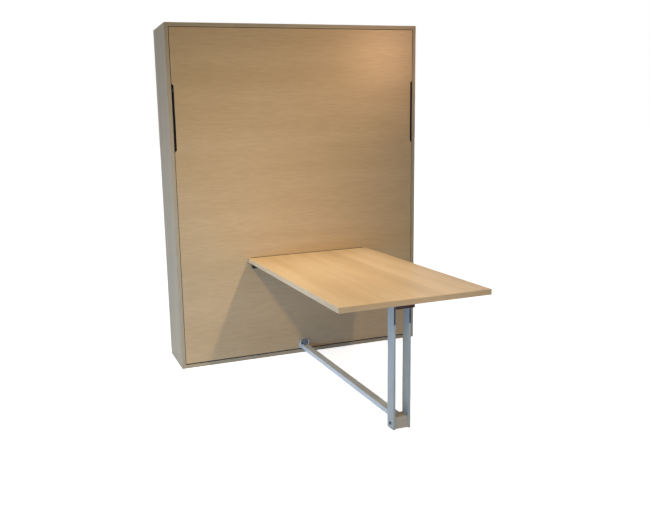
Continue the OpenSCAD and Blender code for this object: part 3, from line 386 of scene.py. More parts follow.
def moulded(name, code, dusty, roughness, grain_mm):
    """A moulded surface with its tool's grain and a trace of dust."""
    material, tree, shader = start_material(name, code, roughness)
    place = add(tree, "TexCoord").outputs["Object"]
    grain = add(tree, "TexVoronoi", {"Vector": place, "Scale": 1000.0 / grain_mm})
    dust = add(tree, "TexNoise", {"Vector": place, "Scale": dust_scale, "Detail": 5.0})
    veil_stops = [(0.4, card(code)), (0.8, card(dusty))]
    veil = add(tree, "ValToRGB", {"Fac": dust.outputs["Fac"]}, veil_stops)
    tree.links.new(veil.outputs["Color"], shader.inputs["Base Color"])
    tool_grain = {"Height": grain.outputs["Distance"], "Strength": 0.2, "Distance": 0.0003}
    tree.links.new(add(tree, "Bump", tool_grain).outputs["Normal"], shader.inputs["Normal"])
    return material


black_abs = moulded("moulded ABS, black", "#1b1c1e", "#34353a", 0.5, 1.4)
# the hand slots' liners are black ABS drawn deeper black than the other plastic: the extra darkness
# is painted shade inside the slots
slot_liner_painted_shade = moulded("moulded ABS, deep black", "#070708", "#111112", 0.7, 1.4)
nylon = moulded("turned nylon", "#e4e1d8", "#d3cfc4", 0.4, 1.0)
rubber = moulded("moulded rubber", "#17181a", "#3a3a3b", 0.8, 1.8)
stained = oak_decor("dark stained batten", "#34302b", "#2a2622", "XZY", "ZYX")
reddish = oak_decor("reddish brown batten", "#4a2f2b", "#3d2624", "XZY", "ZYX")

# %% [markdown]
# ## Dress the carried over parts
#
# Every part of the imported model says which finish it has, so most of them are dressed in one loop.
# The boards need a grain direction as well: uprights have it along Z, and boards that lie across
# have it along X.

# %% Give each part its finish
finishes = {
    "carcass_board": shelf_oak,
    "front_veneer": front_oak,
    "desk_veneer": desk_oak_painted_paler,
    "beech_ply": ply,
    "zinc_steel": zinc,
    "silver_leg_paint": silver_coat,
    "black_frame_paint": black_coat,
    "dark_wood_stain": stained,
    "black_plastic": black_abs,
    "white_nylon": nylon,
    "rubber": rubber,
}
special = {
    "grip_liners": slot_liner_painted_shade,
    "side_panel_left": upright_oak,
    "side_panel_right": upright_oak,
    "leg_bracket": bracket_coat_painted_shade,
    "leg_batten": reddish,
    "link_bar": light_coat,
    "bar_clevis": light_coat,
    "bar_foot_block": block_coat,
    "bar_eye": eye_coat_painted_shade,
    "foot_pivot_bolt": black_coat,
    "strut_rod_left": hard_chrome,
    "strut_rod_right": hard_chrome,
}
for part in frame["record"]["subparts"]:
    name = part["node"]
    finish = special.get(name) or finishes.get(part["material_slot"])
    if finish:
        nodes[name].data.materials.clear()
        nodes[name].data.materials.append(finish)

# %% [markdown]
# ## A way to keep a finished mesh
#
# A bmesh is turned into an object whose place is in its mesh, so the object itself stays at the
# origin.


# %% Make an object from a bmesh
def keep(bm, name, materials, body, smooth=True):
    """Turns a bmesh into an object that rides on a body of the model."""
    mesh = bpy.data.meshes.new(name)
    bm.to_mesh(mesh)
    bm.free()
    for material in materials:
        mesh.materials.append(material)
    for face in mesh.polygons:
        face.use_smooth = smooth
    piece = bpy.data.objects.new(name, mesh)
    bpy.context.scene.collection.objects.link(piece)
    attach(piece, body)
    print(name, len(mesh.polygons), "faces")
    return piece


# %% [markdown]
# ## Mattress cloth and webbing
#
# The mattress has a knitted ticking, quilted on both faces, and a plainer knitted border. Knit is
# soft and has a pale sheen where it turns away from the eye. Its stitches are drawn 3 mm apart so
# that they show.

# %% Cloth materials
cloth_tone_scale = 7.0  # a tone that changes over about 140 mm


def knit(name, code, shadow, pitch_mm, fuzz):
    """A knitted cloth with its stitches, a slow change of tone and a soft sheen."""
    material, tree, shader = start_material(name, code, 0.9)
    shader.inputs["Sheen Weight"].default_value = fuzz
    shader.inputs["Sheen Roughness"].default_value = 0.6
    place = add(tree, "TexCoord").outputs["Object"]
    rows = {"Vector": place, "Scale": 1000.0 / pitch_mm, "Randomness": 0.35}
    stitch = add(tree, "TexVoronoi", rows).outputs["Distance"]
    drift = add(tree, "TexNoise", {"Vector": place, "Scale": cloth_tone_scale, "Detail": 3.0})
    tone_stops = [(0.3, card(shadow)), (0.65, card(code))]
    tone = add(tree, "ValToRGB", {"Fac": drift.outputs["Fac"]}, tone_stops)
    # the stitches' edges, the hollows of the relief below, are drawn darker: painted shade between
    # the stitches
    stitch_hollow_shade = add(tree, "ValToRGB", {"Fac": stitch}, [(0.1, grey(1.0)), (0.7, grey(0.86))])
    both = {0: 1.0, MIX_A: tone.outputs["Color"], MIX_B: stitch_hollow_shade.outputs["Color"]}
    colour = add(tree, "Mix", both, **MULTIPLIED)
    tree.links.new(colour.outputs[MIX_OUT], shader.inputs["Base Color"])
    loops = {"Height": stitch, "Strength": 0.35, "Distance": 0.0008}
    relief = add(tree, "Bump", loops, invert=True)
    tree.links.new(relief.outputs["Normal"], shader.inputs["Normal"])
    return material


ticking = knit("knitted ticking", "#efece5", "#e2ded5", 3.0, 0.35)
border_knit = knit("knitted border", "#c9c8c4", "#bab9b5", 2.4, 0.3)
tape = knit("woven edge tape", "#8d9197", "#7d8187", 1.6, 0.2)

# %% Webbing
WAVE_TURN = 20.0
rib_pitch = 0.002
warp_pitch = 0.0012


def wave_scale(pitch):
    """The scale at which a wave, which turns 20 radians a unit, repeats after a pitch in metres."""
    return 2 * math.pi / (WAVE_TURN * pitch)


def webbing():
    """Woven polyester strap: ribs run across it, read from its own UV map in metres."""
    material, tree, shader = start_material("polyester webbing", "#2b2d31", 0.75)
    lie = add(tree, "UVMap").outputs["UV"]
    rib = {"Vector": lie, "Scale": wave_scale(rib_pitch), "Distortion": 0.4, "Detail": 1.0}
    ribs = add(tree, "TexWave", rib, bands_direction="X").outputs["Fac"]
    thread = {"Vector": lie, "Scale": wave_scale(warp_pitch), "Distortion": 0.2}
    warp = add(tree, "TexWave", thread, bands_direction="Y").outputs["Fac"]
    weave_relief_and_shade = add(tree, "Math", {0: ribs, 1: warp}, operation="MULTIPLY").outputs["Value"]
    # the weave's low grooves are drawn darker: painted shade between the ribs and threads
    tone_stops = [(0.1, card("#1e2023")), (0.7, card("#3d4046"))]
    tone = add(tree, "ValToRGB", {"Fac": weave_relief_and_shade}, tone_stops)
    tree.links.new(tone.outputs["Color"], shader.inputs["Base Color"])
    relief = add(tree, "Bump", {"Height": weave_relief_and_shade, "Strength": 0.5, "Distance": 0.0006})
    tree.links.new(relief.outputs["Normal"], shader.inputs["Normal"])
    return material


strap_web = webbing()

# %% [markdown]
# ## The mattress
#
# A sprung mattress is a quilted cover pulled over a block, with a tape sewn round both edges. The
# quilting is sewn in diamonds, and the filling pushes each diamond up between its seams. So a
# closed grid is made first, its seams are pinned, and a cloth simulation blows the rest out, as the
# filling does.

# %% The mattress's block, with its crowned faces and drawn in sides
TINY = 1e-6
mat_low, mat_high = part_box("mattress")
mat_mid = (mat_low + mat_high) / 2
mat_half = (mat_high - mat_low) / 2
cell = 0.0125
seam_cells = 16
seam_depth = 0.014
corner_r = 0.06
crown = 0.012
crown_share = 0.35  # of the width: from there inwards the crown is full
roll_r = 0.016
side_draw = 0.007
side_cuts = 9


def edge_distance(x, z):
    """How far a point lies inside the mattress's outline, which has round corners."""
    dx = mat_half.x - abs(x)
    dz = mat_half.z - abs(z)
    if dx < corner_r and dz < corner_r:
        return corner_r - math.hypot(corner_r - dx, corner_r - dz)
    return min(dx, dz)


def face_height(inset):
    """Half the mattress's thickness at a distance inside its outline."""
    rim = mat_half.y - crown
    if inset < roll_r:
        lean = 1 - max(inset, 0.0) / roll_r
        return rim - roll_r + roll_r * math.sqrt(max(1 - lean * lean, 0.0))
    rise = min((inset - roll_r) / (crown_share * 2 * mat_half.x), 1.0)
    return rim + crown * math.sin(rise * math.pi / 2)


def mattress_block():
    """A closed grid of quads, with square cells on both faces."""
    bm = bmesh.new()
    columns = round(2 * mat_half.x / cell)
    rows = round(2 * mat_half.z / cell)
    bmesh.ops.create_grid(bm, x_segments=columns, y_segments=rows, size=1.0)
    for v in bm.verts:
        v.co = Vector((v.co.x * mat_half.x, -mat_half.y, v.co.y * mat_half.z))
    grown = bmesh.ops.extrude_face_region(bm, geom=bm.faces[:], use_keep_orig=True)
    top = [v for v in grown["geom"] if isinstance(v, bmesh.types.BMVert)]
    bmesh.ops.translate(bm, verts=top, vec=(0, 2 * mat_half.y, 0))
    rims = [e for e in bm.edges if abs(e.verts[0].co.y - e.verts[1].co.y) > mat_half.y]
    bmesh.ops.subdivide_edges(bm, edges=rims, cuts=side_cuts, use_grid_fill=True)
    bmesh.ops.recalc_face_normals(bm, faces=bm.faces[:])
    return bm


def settle(x, y, z):
    """Moves a point of the square block to the real outline, roll and crown."""
    dx = abs(x) - (mat_half.x - corner_r)
    dz = abs(z) - (mat_half.z - corner_r)
    if dx > 0 and dz > 0:
        share = max(dx, dz) / math.hypot(dx, dz)
        x = math.copysign(mat_half.x - corner_r + dx * share, x)
        z = math.copysign(mat_half.z - corner_r + dz * share, z)
    if abs(y) > mat_half.y - TINY:
        return Vector((x, math.copysign(face_height(edge_distance(x, z)), y), z))
    rim = mat_half.y - crown - roll_r
    level = y / mat_half.y
    pull = side_draw * math.cos(level * math.pi / 2) ** 2
    return Vector((x * (1 - pull / mat_half.x), rim * level, z * (1 - pull / mat_half.z)))


# %% The quilting's seams, in diamonds
seam_fade = 0.03  # beside the rolled edge the seams run out over this length
ticking_slope = 0.35
ticking_rise = 0.062


def on_seam(x, z):
    """Whether a grid point of a face lies on a diamond's seam."""
    column = round((x + mat_half.x) / cell)
    row = round((z + mat_half.z) / cell)
    return (column + row) % seam_cells == 0 or (column - row) % seam_cells == 0


def is_ticking(face):
    """Whether a face belongs to the quilted cover, and not to the border."""
    return abs(face.normal.y) > ticking_slope or abs(face.calc_center_median().y) > ticking_rise


block = mattress_block()
pinned = []
limits = []
for v in block.verts:
    x, y, z = v.co
    is_face = abs(y) > mat_half.y - TINY
    v.co = settle(x, y, z)
    inset = edge_distance(v.co.x, v.co.z)
    limits.append(abs(v.co.y))
    free = is_face and inset > roll_r
    pinned.append(not free or on_seam(x, z))
    if is_face:
        fade = min(max((inset - roll_r) / seam_fade, 0.0), 1.0)
        depth = seam_depth * fade
        v.co.y -= math.copysign(depth, v.co.y)
for face in block.faces:
    face.material_index = 0 if is_ticking(face) else 1
bmesh.ops.translate(block, verts=block.verts[:], vec=mat_mid)
mattress = keep(block, "quilted_mattress", [ticking, border_knit], "bed")

# %% [markdown]
# ### Blow up the quilting
#
# The seams and the border stay where they are, pinned through a vertex group. Pressure without
# gravity lifts each diamond, and a little extra cloth lets it pucker beside its seams. No point
# rises past the crown.


# %% Blow up the quilting with a cloth simulation
def inflate(piece, pins, pressure, growth, frames):
    """Runs a pressure cloth simulation with pinned points and gives the points' last places."""
    group = piece.vertex_groups.new(name="sewn")
    group.add([i for i, pin in enumerate(pins) if pin], 1.0, "REPLACE")
    cloth = piece.modifiers.new("cloth", "CLOTH")
    cloth.settings.quality = 4
    cloth.settings.mass = 0.25
    cloth.settings.tension_stiffness = 12
    cloth.settings.compression_stiffness = 12
    cloth.settings.shear_stiffness = 5
    cloth.settings.bending_stiffness = 0.3
    cloth.settings.vertex_group_mass = "sewn"
    cloth.settings.pin_stiffness = 1.0
    cloth.settings.use_pressure = True
    cloth.settings.uniform_pressure_force = pressure
    cloth.settings.shrink_min = -growth
    cloth.settings.effector_weights.gravity = 0.0
    cloth.point_cache.frame_start = 1
    cloth.point_cache.frame_end = frames
    scene = bpy.context.scene
    for number in range(1, frames + 1):
        scene.frame_set(number)
    graph = bpy.context.evaluated_depsgraph_get()
    shaped = bpy.data.meshes.new_from_object(piece.evaluated_get(graph))
    piece.modifiers.clear()
    piece.vertex_groups.clear()
    moved = [v.co.copy() for v in shaped.vertices]
    bpy.data.meshes.remove(shaped)
    scene.frame_set(1)
    return moved


blown = inflate(mattress, pinned, pressure=2.6, growth=0.01, frames=20)
rise = 0.0
for v, new, limit in zip(mattress.data.vertices, blown, limits):
    height = new.y - mat_mid.y
    if abs(height) > limit:
        new.y = mat_mid.y + math.copysign(limit, height)
    rise = max(rise, (new - v.co).length)
    v.co = new
print("the quilting rose", round(rise * 1000, 1), "mm at most")
mattress.data.update()
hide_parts("mattress")

# %% [markdown]
# ### The tape round both edges
#
# A rolled tape hides the seam where the quilted face meets the border. It is a closed curve round
# the outline, given a round section and kept as a mesh.

# %% Edge tape
tape_r = 0.0045
tape_sink = 0.9  # how far its middle lies inside the outline, in radii
tape_drop = 0.011
corner_steps = 10


def outline_points(inset, steps):
    """Points round the mattress's outline, drawn in by inset."""
    radius = corner_r - inset
    points = []
    for quarter, (sx, sz) in enumerate(((1, 1), (-1, 1), (-1, -1), (1, -1))):
        middle = Vector((sx * (mat_half.x - corner_r), 0, sz * (mat_half.z - corner_r)))
        for i in range(steps + 1):
            angle = math.pi / 2 * (quarter + i / steps)
            points.append(middle + radius * Vector((math.cos(angle), 0, math.sin(angle))))
    return points


def ring_tube(name, points, radius, material, body):
    """A round tube along a closed ring of points, kept as a mesh."""
    curve = bpy.data.curves.new(name, "CURVE")
    curve.dimensions = "3D"
    curve.bevel_depth = radius
    curve.bevel_resolution = 3
    spline = curve.splines.new("POLY")
    spline.points.add(len(points) - 1)
    spline.use_cyclic_u = True
    for spot, point in zip(spline.points, points):
        spot.co = (*point, 1.0)
    line = bpy.data.objects.new(name + "_line", curve)
    bpy.context.scene.collection.objects.link(line)
    graph = bpy.context.evaluated_depsgraph_get()
    bm = bmesh.new()
    bm.from_mesh(line.evaluated_get(graph).to_mesh())
    bmesh.ops.remove_doubles(bm, verts=bm.verts[:], dist=TINY)
    bmesh.ops.recalc_face_normals(bm, faces=bm.faces[:])
    bpy.data.objects.remove(line)
    return keep(bm, name, [material], body)


for name, way in (("front", -1), ("rear", 1)):
    level = Vector((0, way * (mat_half.y - crown - tape_drop), 0))
    ring = [mat_mid + point + level for point in outline_points(tape_r * tape_sink, corner_steps)]
    ring_tube("edge_tape_" + name, ring, tape_r, tape, "bed")


# %% [markdown]
# ### Straps and handles
#
# Two webbing straps hold the mattress while the bed stands upright. Each starts on a side rail,
# runs up the side, turns over the rolled edge and lies on the quilting. Four short webbing handles
# are sewn to the border. Each is a row of edges extruded step by step along a path, and given its
# thickness last. Its UV map holds metres along and across, so the weave follows every bend.

# %% A strip of webbing along a path
strap_low, strap_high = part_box("mattress_straps")
strap_w = 0.040
strap_t = 0.0016
strap_bend = 0.014


def arc(middle, radius, start, stop, steps):
    """Points of an arc in the XY plane, angles in degrees."""
    turns = [math.radians(start + (stop - start) * i / steps) for i in range(steps + 1)]
    return [
        Vector((middle[0] + radius * math.cos(turn), middle[1] + radius * math.sin(turn)))
        for turn in turns
    ]


def strip(path, width, name, placed):
    """Webbing along a path in X and Y, its width along Z, then put in place by a matrix."""
    bm = bmesh.new()
    metres = bm.loops.layers.uv.new("metres")
    run_at = bm.verts.layers.float.new("run")
    widths = [width * share for share in (0.0, 0.25, 0.5, 0.75, 1.0)]
    row = [bm.verts.new((path[0].x, path[0].y, across)) for across in widths]
    edges = [bm.edges.new(pair) for pair in zip(row, row[1:])]
    run = 0.0
    for here, there in zip(path, path[1:]):
        run += (there - here).length
        grown = bmesh.ops.extrude_edge_only(bm, edges=edges)["geom"]
        row = {v for v in grown if isinstance(v, bmesh.types.BMVert)}
        edges = list({e for v in row for e in v.link_edges if e.other_vert(v) in row})
        for v in row:
            v.co.xy += there - here
            v[run_at] = run
    for face in bm.faces:
        for loop in face.loops:
            loop[metres].uv = (loop.vert[run_at], loop.vert.co.z)
    bmesh.ops.recalc_face_normals(bm, faces=bm.faces[:])
    bmesh.ops.solidify(bm, geom=bm.faces[:], thickness=strap_t)
    bmesh.ops.transform(bm, matrix=placed, verts=bm.verts[:])
    # the turn to the left side mirrors the strip, so the faces are pointed outwards last
    bmesh.ops.recalc_face_normals(bm, faces=bm.faces[:])
    return keep(bm, name, [strap_web], "bed")


# %% Straps
root_rises = (0.0, 0.04, 0.09)
shoulder_drop = 0.010
top_shares = (0.9, 0.75, 0.6, 0.45, 0.3, 0.15)
top_fall = 0.004


def strap_path():
    """The strap's middle line over the mattress, from one side rail to the other."""
    x_out = strap_high.x - strap_t / 2
    y_root = strap_low.y
    y_top = strap_high.y - strap_t / 2
    half = [Vector((x_out, y_root + rise)) for rise in root_rises]
    bend_middle = (x_out - strap_bend, y_top - strap_bend - shoulder_drop)
    half += arc(bend_middle, strap_bend, 0, 80, 6)
    half += [Vector((mat_half.x * share, y_top - top_fall * share**4)) for share in top_shares]
    other = [Vector((-point.x, point.y)) for point in reversed(half)]
    return half + [Vector((0.0, y_top))] + other


for number, z in enumerate((strap_low.z, strap_high.z - strap_w), 1):
    placed = Matrix.Translation((0, 0, z))
    strip(strap_path(), strap_w, "strap_%d" % number, placed)
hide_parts("mattress_straps")

# %% Handles on the mattress's long sides
handle_l = 0.19
handle_w = 0.026
handle_rise = 0.007
handle_gap = 0.001
handle_steps = 12
handle_level = 0.74  # of the mattress's half length
handle_sink = 0.6  # of what the border is drawn in

bend = []
for i in range(handle_steps + 1):
    share = i / handle_steps
    lift = handle_rise * math.sin(math.pi * share) ** 2 + handle_gap
    bend.append(Vector((handle_l * (share - 0.5), lift)))
handle_x = mat_half.x - side_draw * handle_sink
handle_ends = [(side, end) for side in (-1, 1) for end in (-1, 1)]
for number, (side, end) in enumerate(handle_ends, 1):
    # the strip's own X turns to Z, its Y to the outside of the mattress and its Z to Y
    turn = Matrix(((0, side, 0, 0), (0, 0, 1, 0), (1, 0, 0, 0), (0, 0, 0, 1)))
    spot = mat_mid + Vector((side * handle_x, -handle_w / 2, end * handle_level * mat_half.z))
    placed = Matrix.Translation(spot) @ turn
    strip(bend, handle_w, "handle_%d" % number, placed)

# %% [markdown]
# ## Screws
#
# Pan head screws with a cross recess fix the brackets and plates. One head is modelled: a turned
# profile is spun round its axis, and a cross is cut out of it. Then the same head is copied to
# every hole of a fitting.

# %% One screw head
head_r = 0.0042
head_h = 0.0028
head_steps = 16
cross_l = 1.25  # of the head's radius, as is its width
cross_w = 0.24
cross_d = 1.1  # of the head's height
head_turn = 0.7


def spun_head():
    """A pan head, turned about Z and standing on z = 0."""
    bm = bmesh.new()
    profile = [(0, 0), (1, 0), (1, 0.35), (0.92, 0.7), (0.7, 0.93), (0.35, 1), (0, 1)]
    verts = [bm.verts.new((head_r * x, 0, head_h * z)) for x, z in profile]
    edges = [bm.edges.new(pair) for pair in zip(verts, verts[1:])]
    bmesh.ops.spin(
        bm,
        geom=verts + edges,
        axis=(0, 0, 1),
        cent=(0, 0, 0),
        angle=2 * math.pi,
        steps=head_steps,
        use_merge=True,
    )
    bmesh.ops.remove_doubles(bm, verts=bm.verts[:], dist=TINY)
    bmesh.ops.recalc_face_normals(bm, faces=bm.faces[:])
    return bm


def crossed_head():
    """The head with its cross recess, as a mesh to copy."""
    head_mesh = bpy.data.meshes.new("head")
    spun = spun_head()
    spun.to_mesh(head_mesh)
    spun.free()
    head = bpy.data.objects.new("head", head_mesh)
    cutters = []
    for angle in (0, math.pi / 2):
        bm = bmesh.new()
        turn = Matrix.Rotation(angle, 4, "Z") @ Matrix.Translation((0, 0, head_h))
        size = Matrix.Diagonal((head_r * cross_l, head_r * cross_w, head_h * cross_d, 1))
        bmesh.ops.create_cube(bm, size=1.0, matrix=turn @ size)
        mesh = bpy.data.meshes.new("cutter")
        bm.to_mesh(mesh)
        bm.free()
        cutters.append(bpy.data.objects.new("cutter", mesh))
    for thing in [head, *cutters]:
        bpy.context.scene.collection.objects.link(thing)
    for cutter in cutters:
        cut = head.modifiers.new("cut", "BOOLEAN")
        cut.operation = "DIFFERENCE"
        cut.object = cutter
    graph = bpy.context.evaluated_depsgraph_get()
    shaped = bpy.data.meshes.new_from_object(head.evaluated_get(graph))
    for thing in [head, *cutters]:
        bpy.data.objects.remove(thing)
    return shaped


one_head = crossed_head()
print("one screw head has", len(one_head.polygons), "faces")


def screws(name, spots, direction, body):
    """Copies the head to each spot, facing along a direction, each turned a little further."""
    bm = bmesh.new()
    face = Vector(direction).to_track_quat("Z", "Y").to_matrix().to_4x4()
    for i, spot in enumerate(spots):
        copy = one_head.copy()
        copy.transform(Matrix.Translation(spot) @ face @ Matrix.Rotation(head_turn * i, 4, "Z"))
        bm.from_mesh(copy)
        bpy.data.meshes.remove(copy)
    bmesh.ops.dissolve_degenerate(bm, dist=2 * TINY, edges=bm.edges[:])
    return keep(bm, name, [zinc], body, smooth=False)


# %% Screws in the desk bracket
bracket_low, bracket_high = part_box("leg_bracket")
bracket_t = 0.005
bracket_step_x = 0.057
bracket_step_y = 0.046
plate_z = bracket_high.z - bracket_t
bracket_x = (bracket_low.x + bracket_high.x) / 2
bracket_y = (bracket_low.y + bracket_high.y) / 2
# three rows of two, but the middle row has only the rear one
rows = [(sx, sy) for sx in (-1, 0, 1) for sy in (-1, 1) if sx or sy > 0]
spots = [
    Vector((bracket_x + sx * bracket_step_x, bracket_y + sy * bracket_step_y, plate_z))
    for sx, sy in rows
]
screws("bracket_screws", spots, (0, 0, -1), "desk")

# %% Screws in the battens and the clevis
batten_low, batten_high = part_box("desk_batten")
batten_mid = (batten_low + batten_high) / 2
batten_half = (batten_high.x - batten_low.x) / 2
spots = [
    Vector((batten_mid.x + batten_half * share, batten_low.y, batten_mid.z))
    for share in (-0.94, -0.47, 0, 0.47, 0.94)
]
screws("desk_batten_screws", spots, (0, -1, 0), "bed")

batten_low, batten_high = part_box("leg_batten")
batten_mid = (batten_low + batten_high) / 2
batten_half = (batten_high.x - batten_low.x) / 2
spots = [
    Vector((batten_mid.x + batten_half * share, batten_mid.y, batten_low.z))
    for share in (-0.6, 0.6)
]
screws("leg_batten_screws", spots, (0, 0, -1), "desk")

clevis_low, clevis_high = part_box("bar_clevis")
clevis_t = 0.003
clevis_step = 0.0175
clevis_drop = 0.019
clevis_x = (clevis_low.x + clevis_high.x) / 2
clevis_z = clevis_high.z - clevis_drop
spots = [
    Vector((clevis_x + side * clevis_step, clevis_high.y - clevis_t, clevis_z)) for side in (-1, 1)
]
screws("clevis_screws", spots, (0, -1, 0), "bed")

# %% Screws in the pivot plates
inner_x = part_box("side_panel_right")[0].x
pivot_plate_t = 0.005
pivot_screw_y = 0.016
pivot_drops = (0.015, 0.055)
for name, way in (("left", -1), ("right", 1)):
    plate_low, plate_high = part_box("pivot_plate_" + name)
    plate_x = way * (inner_x - pivot_plate_t)
    plate_y = (plate_low.y + plate_high.y) / 2
    spots = [
        Vector((plate_x, plate_y + side * pivot_screw_y, plate_high.z - drop))
        for side in (-1, 1)
        for drop in pivot_drops
    ]
    screws("pivot_plate_screws_" + name, spots, (-way, 0, 0), "cabinet")

# %% Screws in the rear angles
angle_t = 0.0025
board_step = 0.02
rear_inset = 0.018
side_inset = 0.011
angle_low, angle_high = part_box("rear_angles")
levels = []
for node in ("rear_bottom_rail", "headboard_panel", "rear_top_rail"):
    board_low, board_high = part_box(node)
    board_z = (board_low.z + board_high.z) / 2
    levels += [board_z - board_step, board_z + board_step]
for name, way in (("left", -1), ("right", 1)):
    spots = [Vector((way * (inner_x - rear_inset), angle_high.y - angle_t, z)) for z in levels]
    screws("rear_board_screws_" + name, spots, (0, -1, 0), "cabinet")
    spots = [Vector((way * (inner_x - angle_t), angle_low.y + side_inset, z)) for z in levels]
    screws("side_board_screws_" + name, spots, (-way, 0, 0), "cabinet")

# %% [markdown]
# ## Black strips in the gap
#
# The gap round the closed front is drawn black with painted shade: thin strips of black foam are
# stuck to the carcass just behind its front edge, and to the sides of the front itself. Each strip
# is a flat box with bevelled edges. They are thinner than the gap, so the front still swings past
# them.
# A pad of the same foam on each rear stile, behind the hand slot, is painted shade that keeps the
# slot dark.

# %% Where the black strips and the pads sit
shade_strip_t = 0.0008
shade_strip_w = 0.034
shade_strip_back = 0.001
shade_strip_ends = 0.006
lying_ends = 0.004
band_ends = 0.01
front_low, front_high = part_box("front_panel")
floor_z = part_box("bottom_panel")[1].z
ceiling_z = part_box("top_panel")[0].z
shade_strip_y = front_low.y + shade_strip_back + shade_strip_w / 2
shade_strip_z = (floor_z + ceiling_z) / 2
shade_strip_h = ceiling_z - floor_z - shade_strip_ends
band_w = front_high.y - front_low.y - 2 * shade_strip_back
band_y = (front_low.y + front_high.y) / 2
pad_t = 0.002
pad_w = 0.09
pad_inset = 0.0625
pad_over = 0.04
pad_x = inner_x - pad_inset
pad_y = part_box("rear_stiles")[0].y - pad_t / 2
slot_low, slot_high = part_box("grip_liners")
pad_z = (slot_low.z + slot_high.z) / 2
pad_h = slot_high.z - slot_low.z + pad_over
print("the gap is", round((inner_x - front_high.x) * 1000, 2), "mm wide")

# %% Black strips and pads, painted shade in the gap and the slots
upright = (shade_strip_t, shade_strip_w, shade_strip_h)
lying = (2 * inner_x - lying_ends, shade_strip_w, shade_strip_t)
band = (shade_strip_t, band_w, shade_strip_h - band_ends)
pad = (pad_w, pad_t, pad_h)
shade_strips = [
    ("shade_strip_left", "cabinet", (shade_strip_t / 2 - inner_x, shade_strip_y, shade_strip_z), upright),
    ("shade_strip_right", "cabinet", (inner_x - shade_strip_t / 2, shade_strip_y, shade_strip_z), upright),
    ("shade_strip_low", "cabinet", (0, shade_strip_y, floor_z + shade_strip_t / 2), lying),
    ("shade_strip_high", "cabinet", (0, shade_strip_y, ceiling_z - shade_strip_t / 2), lying),
    ("band_left", "bed", (front_low.x - shade_strip_t / 2, band_y, shade_strip_z), band),
    ("band_right", "bed", (front_high.x + shade_strip_t / 2, band_y, shade_strip_z), band),
    ("pad_left", "cabinet", (-pad_x, pad_y, pad_z), pad),
    ("pad_right", "cabinet", (pad_x, pad_y, pad_z), pad),
]
shade_strip_bevel = shade_strip_t * 0.3
# black foam for the strips and pads: painted shade in the gap round the front and behind the hand
# slots
gap_shade_foam = moulded("black flocked foam", "#101011", "#1c1c1e", 0.95, 2.0)
for name, body, place, size in shade_strips:
    bm = bmesh.new()
    box = Matrix.Translation(place) @ Matrix.Diagonal((*size, 1))
    bmesh.ops.create_cube(bm, size=1.0, matrix=box)
    bmesh.ops.bevel(
        bm,
        geom=bm.edges[:],
        offset=shade_strip_bevel,
        segments=2,
        affect="EDGES",
        profile=0.5,
        material=-1,
    )
    keep(bm, name, [gap_shade_foam], body, smooth=False)

# %% [markdown]
# ## The studio
#
# The object stands on white paper under two warm ceiling lamps, one high on the left and one high
# on the right, with a small one over the desk. A cool soft box stands low on the left, as a window
# would, with a paler one beside it. Plain soft boxes light the front, the right, the back and the
# top, and a narrow warm lamp leaves the glow at the top right of the front. The camera, and
# whatever reflects or lets light through, sees paper and world as white. Near the object the paper
# keeps its own shading as well, so the shadow stays.


# %% A white that only direct looks and reflections see
def seen_directly(tree):
    """1 for camera, glossy and transmission rays, and 0 for the rays that light the object."""
    ray = add(tree, "LightPath").outputs
    looked_at = {0: ray["Is Camera Ray"], 1: ray["Is Glossy Ray"]}
    first = add(tree, "Math", looked_at, operation="MAXIMUM").outputs["Value"]
    shone_through = {0: first, 1: ray["Is Transmission Ray"]}
    return add(tree, "Math", shone_through, operation="MAXIMUM").outputs["Value"]


# %% Floor
paper_reach = 60.0
paper_drop = 0.0006
glow_middle = (0.0, -0.8, 0.0)
# the paper's own shading gives way to plain white between these two distances
glow_range = {"From Min": 1.5, "From Max": 3.5, "To Min": 0.75, "To Max": 1.0}

floor_bm = bmesh.new()
bmesh.ops.create_grid(floor_bm, x_segments=1, y_segments=1, size=paper_reach)
bmesh.ops.translate(floor_bm, verts=floor_bm.verts[:], vec=(0, 0, -paper_drop))
floor_mesh = bpy.data.meshes.new("floor")
floor_bm.to_mesh(floor_mesh)
floor_bm.free()
floor = bpy.data.objects.new("floor", floor_mesh)
bpy.context.scene.collection.objects.link(floor)
paper, paper_tree, paper_shader = start_material("matt white paper", "#f4f4f3", 0.95)
spot = add(paper_tree, "TexCoord").outputs["Object"]
reach = add(paper_tree, "VectorMath", {0: spot, 1: glow_middle}, operation="DISTANCE")
glow = add(paper_tree, "MapRange", {"Value": reach.outputs["Value"], **glow_range})
glow_seen = {0: seen_directly(paper_tree), 1: glow.outputs["Result"]}
glow_level = add(paper_tree, "Math", glow_seen, operation="MULTIPLY").outputs["Value"]
glow_light = add(paper_tree, "Emission", {"Color": card("#ffffff"), "Strength": glow_level})
paper_look = {0: paper_shader.outputs["BSDF"], 1: glow_light.outputs["Emission"]}
paper_end = add(paper_tree, "AddShader", paper_look).outputs["Shader"]
paper_tree.links.new(paper_end, paper_tree.nodes["Material Output"].inputs["Surface"])
floor_mesh.materials.append(paper)

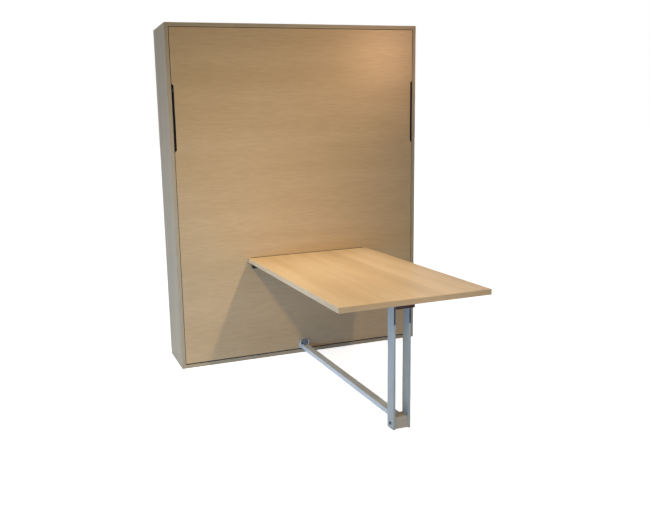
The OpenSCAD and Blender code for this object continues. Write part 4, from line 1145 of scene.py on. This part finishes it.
# %% World
world = bpy.data.worlds.new("studio")
bpy.context.scene.world = world
world.use_nodes = True
sky = world.node_tree
soft_light = sky.nodes["Background"]
soft_light.inputs["Color"].default_value = card("#f6f8ff")
soft_light.inputs["Strength"].default_value = 0.18
white = add(sky, "Background", {"Color": card("#ffffff"), "Strength": 1.0}).outputs["Background"]
sky_look = {0: seen_directly(sky), 1: soft_light.outputs["Background"], 2: white}
sky_end = add(sky, "MixShader", sky_look).outputs["Shader"]
sky.links.new(sky_end, sky.nodes["World Output"].inputs["Surface"])


# %% Lamps
def lamp(name, place, target, size, power, code, beam):
    """A square soft box that faces a target and lights a cone of some degrees."""
    light = bpy.data.lights.new(name, "AREA")
    light.size = size
    light.energy = power
    light.color = card(code)[:3]
    light.spread = math.radians(beam)
    box = bpy.data.objects.new(name, light)
    box.location = place
    box.rotation_euler = (Vector(target) - Vector(place)).to_track_quat("-Z", "Y").to_euler()
    bpy.context.scene.collection.objects.link(box)


lamp("left_lamp", (-2.3, -3.0, 3.6), (-0.1, -0.4, 0.5), 0.3, 6.4, "#ffe9a4", 57)
lamp("right_lamp", (1.02, -3.2, 3.9), (-0.5, -0.35, 0.85), 0.2, 6.0, "#ffedc4", 46)
lamp("desk_lamp", (-0.4, -1.3, 4.2), (-0.1, -0.9, 0.7), 0.4, 1.8, "#f4f0ff", 46)
lamp("front_soft_box", (1.6, -5.2, 1.1), (0.1, -1.6, 0.55), 0.8, 0.35, "#fff1e0", 24)
lamp("right_soft_box", (4.6, 0.9, 1.9), (0.7, 0.1, 1.3), 1.8, 14.0, "#fff7ee", 46)
lamp("rear_soft_box", (1.4, 4.6, 2.0), (0.2, 0.2, 1.4), 1.8, 16.0, "#ffffff", 46)
lamp("top_soft_box", (0.2, 2.0, 4.2), (0.0, 0.0, 2.25), 1.2, 16.0, "#fff7ee", 50)
lamp("low_soft_box", (-3.1, -2.8, 0.5), (-0.5, -0.3, 0.3), 1.2, 16.0, "#5aaeff", 69)
lamp("side_soft_box", (-4.0, -1.0, 1.0), (-0.6, -0.6, 0.6), 1.8, 4.5, "#e6efff", 60)
lamp("glare_lamp", (2.1, -2.9, 2.35), (0.62, -0.184, 2.1), 0.35, 0.9, "#ffd3a4", 26)

# %% Finish
bpy.context.scene.view_settings.view_transform = "Standard"
